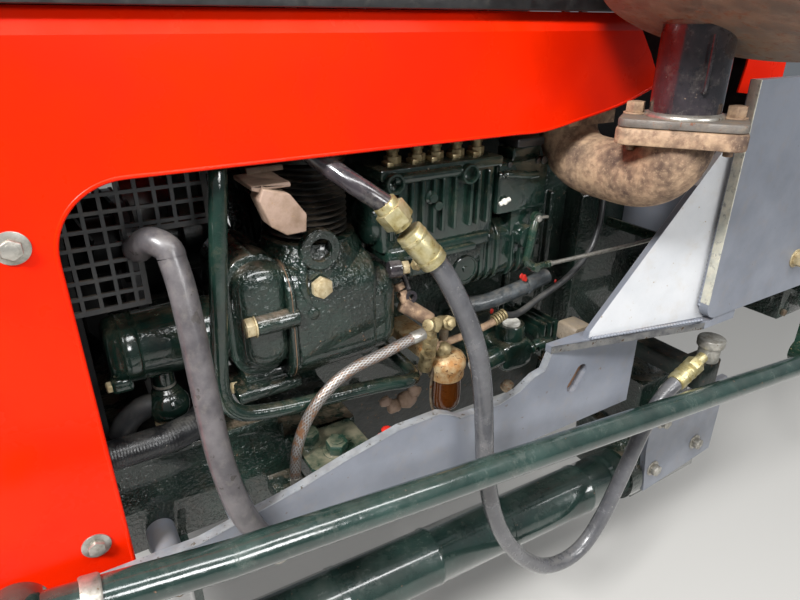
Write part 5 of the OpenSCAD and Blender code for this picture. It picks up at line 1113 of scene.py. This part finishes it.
# Upper edge of each rail: bright where boots have rubbed it
railLook = {"inner": 344.8, "outer": 357.5, "thickness": 1.4, "lift": 0.8}
railTop = [(1298, -74), (1159, -75), (1082, -77), (955, -54), (891, -37), (807, -19), (742, -18), (724, -26),
           (706, -38), (670, -41), (632, -41), (593, -31), (565, -14), (545, -10), (533, 19)]
for side, sign in bothSides:
    bm = bmesh.new()
    edge = bm.edges.new([bm.verts.new(mm(railTop[0][0], railLook[key] * sign, railTop[0][1] + railLook["lift"]))
                         for key in ("inner", "outer")])
    for (x0, z0), (x1, z1) in zip(railTop, railTop[1:]):
        made = bmesh.ops.extrude_edge_only(bm, edges=[edge])["geom"]
        bmesh.ops.translate(bm, vec=mm(x1 - x0, 0, z1 - z0),
                            verts=[v for v in made if isinstance(v, bmesh.types.BMVert)])
        edge = [e for e in made if isinstance(e, bmesh.types.BMEdge)][0]
    bmesh.ops.solidify(bm, geom=list(bm.faces), thickness=railLook["thickness"] / 1000)
    newPiece("railEdge" + side, bm, "rubbedGrey", smooth=30)

makePiece("lowerPlateBolts", "brightSteel",
          *[(bolt, (x, 350, z), left, 22, 12, 34) for x, z in ((190, -359), (56, -345), (30, -230), (190, -240))],
          (bolt, (199, 340, -169), left, 20, 11, 30), smooth=30)
# Cast stop block behind the gusset
makePiece("stopBlock", "primerBlock", (block, (412, 284, -10), (452, 326, 24), 1, 6, 4, 3))

# Large screws and sealant on the front support's ears, spotted with paint
makePiece("supportBolts", "greenSteel",
          *[(bolt, (x, y, -44), (0, 0.1, 1), 26, 16, 38) for x, y in ((886, 322), (911, 284), (850, 200))],
          (block, (838, 258, -52), (930, 345.2, -44), 2, 8, 1.5, 4), smooth=30)
bm = bmesh.new()
for x, y, z, r in ((663, 140, -146, 20), (686, 138, -154, 16), (644, 138, -136, 15), (702, 136, -138, 12)):
    lump(bm, (x, y, z), r, (1, 0.7, 0.8))
for vert in bm.verts:
    # Lumps of it, pressed on by hand
    vert.co += mm(2.4 * math.sin(vert.co.x * 310), 0, 2.4 * math.sin(vert.co.z * 270 + vert.co.x * 140))
newPiece("sealantLumps", bm, "dustyPlastic", smooth=70, slot="rusty_cast_iron")
makePiece("paintBlob", "redPaintDot", (lump, (818, 340, -25), 8, (1, 1, 0.5)),
          (lump, (829, 343, -28), 5, (1, 1, 0.5)), smooth=70)

# Black belly plate bolted under the front support, with pressed ribs: a dark sheet set where the bay shows only shade,
# so painted shade
makePiece("paintedShadeBellyPlate", "blackEnamel", (block, (972, -262, -143.5), (1180, 262, -140), 2, 14, 0.8, 4),
          *[(block, (x, -190, -147), (x + 18, 190, -142), 0, 6, 1.5, 4) for x in (1034, 1080, 1126)])
makePiece("bellyBolts", "dullSteel",
          *[(bolt, (x, y, -143.5), down, 17, 8, 26) for x in (1018, 1090, 1162) for y in (-238, 238)], smooth=30)

# Black splash sheet on the right beam below the screen, with its fixings: a dark sheet set where the bay shows only
# shade, so painted shade
makePiece("paintedShadeSplashSheet", "blackRubber", (box, (905, -262, -70), (992, -258, 64), 1.2),
          (box, (990, -262, -70), (1184, -258, 196), 1.2),
          *[(box, (x, -265, z), (1178, -262, z + 14), 2) for x, z in ((912, 40), (996, 120))], smooth=30)
makePiece("splashBolts", "brightSteel",
          *[(bolt, (x, -262, 18), right, 13, 6, 20) for x in (925, 1010, 1086, 1164)], smooth=30)
print("towers and rails finished")


# Right side, rear and top: covers, plugs, clamps and bolts that the photograph doesn't show

blockLook = {"face": -130, "plugs": (380, 560, 740), "plugZ": 96, "cover": (470, 860, -74, 40), "bolt": 13}
y = blockLook["face"]
x0, x1, z0, z1 = blockLook["cover"]
plug = [(0, 1.5), (17, 1.5), (20, 5), (22, 5), (23, 0), (30, 0), (28, 3.5), (24, 4), (23, -2), (0, -2)]
makePiece(
    "blockSide", "greenCasting",
    # Pressed core plugs in their raised seats
    *[(turned, plug, (x, y, blockLook["plugZ"]), right, 40) for x in blockLook["plugs"]],
    (block, (x0, y - 9, z0), (x1, y + 2, z1), 1, 18, 3, 5),
    (block, (x0 + 34, y - 16, z0 + 26), (x1 - 34, y - 6, z1 - 26), 1, 12, 5, 5),
    *[(block, (x - 5, y - 10, 128), (x + 5, y + 2, 250), 2, 4, 3, 3) for x in (346, 430, 520, 610, 700, 790, 866)],
    (block, (306, y - 7, 226), (894, y + 2, 240), 0, 3, 2, 3))
coverBolts = [(bolt, (x, y - 9, z), right, blockLook["bolt"], 7, 20)
              for x in range(x0 + 14, x1, 72) for z in (z0 + 12, z1 - 12)]
for x in range(320, 890, 70):
    # Flange bolts of the sump, and the head bolts beside the rocker cover
    coverBolts += [(bolt, (x, -128, -106), right, 13, 6), (bolt, (x, -112, 430), up, 19, 10, 28),
                   (bolt, (x, 112, 430), up, 19, 10, 28)]
makePiece("blockBolts", "dullSteel", *coverBolts, smooth=30)
makePiece("dipstick", "brightSteel",
          (tube, [(640, -138, 50), (640, -156, 90), (646, -160, 160), (652, -150, 236)], 5, 14, 10),
          (tube, [(652, -150, 236), (653, -148, 246), (658, -156, 252), (664, -150, 246), (658, -146, 240)],
           2.2, 10, 3), smooth=50)

# Rocker cover's nuts and filler cap
nut = [(0, 0), (15, 0), (15, 3), (9, 5), (8, 14), (6, 16), (0, 16)]
makePiece("rockerNuts", "brightSteel", *[(turned, nut, (x, 0, 491), up, 24) for x in (420, 600, 780)])
makePiece("fillerCap", "blackEnamel",
          (turned, [(0, 0), (30, 0), (30, 4), (26, 6), (26, 14), (23, 17), (0, 17)], (700, 30, 490), up, 40))

# Air cleaner: rolled end, band clamps and their screws
cleanerLook = {"y": -252, "z": 317, "radius": 58, "bands": (560, 660, 760), "rims": (534, 816)}
y, z, r = (cleanerLook[key] for key in ("y", "z", "radius"))
band = [(r - 1, -7), (r + 1.2, -7), (r + 1.8, -5), (r + 1.8, 5), (r + 1.2, 7), (r - 1, 7)]
rim = [(20, -2), (56, -2), (59.5, 0), (60.5, 3), (59, 5), (20, 4)]
bands = []
for x in cleanerLook["bands"]:
    bands += [(hoop, band, (x, y, z), forward, 60),
              (bar, (x - 9, y + 10, z + r + 3), (x + 9, y + 10, z + r + 3), 4.2, 18, 0.8)]
makePiece("cleanerBands", "brightSteel", *bands)
makePiece("cleanerRims", "blackEnamel", *[(hoop, rim, (x, y, z), forward, 60) for x in cleanerLook["rims"]])

# Starter's through bolts and terminals; alternator's cooling fins
makePiece("starterTerminals", "brightSteel",
          *[(bolt, (489, *onCircle(34, degrees, -196, -20)), forward, 10, 6) for degrees in (40, 220)],
          (bolt, (449, -204, 56), forward, 13, 12, 18), (bolt, (449, -204, 36), forward, 10, 12, 18), smooth=30)
fins = [onCircle(61.4, degrees, -190, 190) for degrees in range(0, 360, 12)]
makePiece("alternatorFins", "castAluminium", *[(bar, (882, *fin), (962, *fin), 2.2, 8, 0.6) for fin in fins])

# Radiator core seen through the grille: thin fins between flat tubes, and its filler cap
makePiece("radiatorFins", "dullSteel",
          *[(box, (1251.5, -205, 26 + row * 9.6), (1254, 205, 27.2 + row * 9.6)) for row in range(40)],
          *[(box, (1251.4, column * 23.5 - 200, 22), (1253.2, column * 23.5 - 196.6, 412)) for column in range(18)],
          smooth=30)
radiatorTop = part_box("radiator")[1][2] * 1000
capProfile = [(0, 0), (26, 0), (30, 3), (30, 12), (27, 16), (12, 18), (0, 18)]
makePiece("radiatorCap", "brightSteel", (turned, capProfile, (1221, 0, radiatorTop - 2), up, 40))

# Bolts of the fan's hub
makePiece("fanBolts", "brightSteel",
          *[(bolt, (1141, *onCircle(24, degrees, 0, 190)), forward, 11, 5) for degrees in range(0, 360, 60)],
          smooth=30, body="fan_hub")

# Bulkhead: pressed swages, screws round its border, and an access cover
makePiece("bulkheadCover", "blackEnamel",
          *[(block, (17.4, y0, z), (20.6, y1, z + 16), 0, 7, 1.4, 5)
            for z in (268, 330, 392) for y0, y1 in ((-296, -150), (150, 296))],
          (block, (16.6, -118, 262), (20.6, 118, 436), 0, 16, 1.2, 5),
          (block, (14.8, -96, 284), (17.4, 96, 414), 0, 12, 1, 5))
makePiece("bulkheadScrews", "brightSteel",
          *[(bolt, (16.6, y, z), back, 10, 4, 16) for y in (-104, -35, 35, 104) for z in (272, 426)],
          *[(bolt, (20, y, z), back, 10, 4, 16) for z in (250, 320, 390, 460) for y in (-306, 306)], smooth=30)
makePiece("bulkheadGrommets", "blackRubber", *[
    (hoop, [(r * 0.5, -6), (r - 3, -6), (r, -3), (r, 2), (r * 0.5, 2)], (20, y, z), forward, 28)
    for y, z, r in ((-220, 440, 13), (-180, 440, 9), (220, 440, 11))], smooth=50)

# Steering box and drop box: covers and their bolts
makePiece("boxCovers", "greenCasting",
          (turned, [(0, 0), (50, 0), (50, 5), (47, 8), (22, 8), (18, 12), (0, 12)], (20.5, 272, -364), back, 48),
          (block, (-196, 240, 50), (-88, 372, 55), 2, 16, 2, 4))
makePiece("boxBolts", "dullSteel",
          *[(bolt, (15, *onCircle(39, degrees, 272, -364)), back, 13, 6) for degrees in range(30, 390, 60)],
          *[(bolt, (x, y, 55), up, 13, 7) for x in (-184, -100) for y in (252, 360)],
          *[(bolt, (x, 380, z), left, 13, 7) for x, z in ((-198, -58), (-198, 38), (-96, 38), (-96, -58))], smooth=30)
print("other sides made")


# Plain pale floor, soft lamps and an even sky

stageSettings = {"floorZ": -0.80, "floorSize": 6, "floorTone": "#B4B2AE", "floorRoughness": 0.9,
                 "sky": "#F2F5F8", "horizon": "#9AA0A6", "skyStrength": 0.44}
bm = bmesh.new()
bmesh.ops.create_grid(bm, x_segments=1, y_segments=1, size=stageSettings["floorSize"],
                      matrix=Matrix.Translation((0.6, 0, stageSettings["floorZ"])))
floorData = bpy.data.meshes.new("floor")
bm.to_mesh(floorData)
bm.free()
floor = bpy.data.objects.new("floor", floorData)
bpy.context.scene.collection.objects.link(floor)
newMaterial("floorFinish", Base_Color=linearOf(stageSettings["floorTone"]), Roughness=stageSettings["floorRoughness"])
floorData.materials.append(bpy.data.materials["floorFinish"])

world = bpy.data.worlds.new("sky")
bpy.context.scene.world = world
world.use_nodes = True
background = world.node_tree.nodes["Background"]
# Sky that is brightest overhead, as in a studio with a lit ceiling
ahead = addNode(world.node_tree, "TexCoord", "Generated")
height = addNode(world.node_tree, "SeparateXYZ", "Z", {0: ahead})
share = addNode(world.node_tree, "MapRange", "Result", {"Value": height, "From Min": 0.0, "From Max": 0.7})
horizon, sky = linearOf(stageSettings["horizon"]), linearOf(stageSettings["sky"])
world.node_tree.links.new(addNode(world.node_tree, "Mix", 2, {0: share, 6: horizon, 7: sky}, data_type="RGBA"),
                          background.inputs["Color"])
background.inputs["Strength"].default_value = stageSettings["skyStrength"]

lamps = [
    # name, place, aim, width, height, watts
    ("keyLamp", (3.0, 1.5, 2.4), (0.6, 0.3, 0.1), 0.6, 0.6, 195),
    ("sideLamp", (0.2, 3.3, 1.4), (0.6, 0.3, 0.1), 1.0, 0.8, 45),
    ("topLamp", (0.6, 1.9, 2.5), (0.6, 0.3, 0.0), 3.8, 0.45, 75)]
for name, place, aim, width, height, watts in lamps:
    light = bpy.data.lights.new(name, "AREA")
    light.shape = "RECTANGLE"
    light.size = width
    light.size_y = height
    light.energy = watts
    lamp = bpy.data.objects.new(name, light)
    lamp.location = place
    lamp.rotation_euler = (Vector(aim) - Vector(place)).to_track_quat("-Z", "Y").to_euler()
    bpy.context.scene.collection.objects.link(lamp)

bpy.context.scene.view_settings.view_transform = "Standard"
print("stage set")
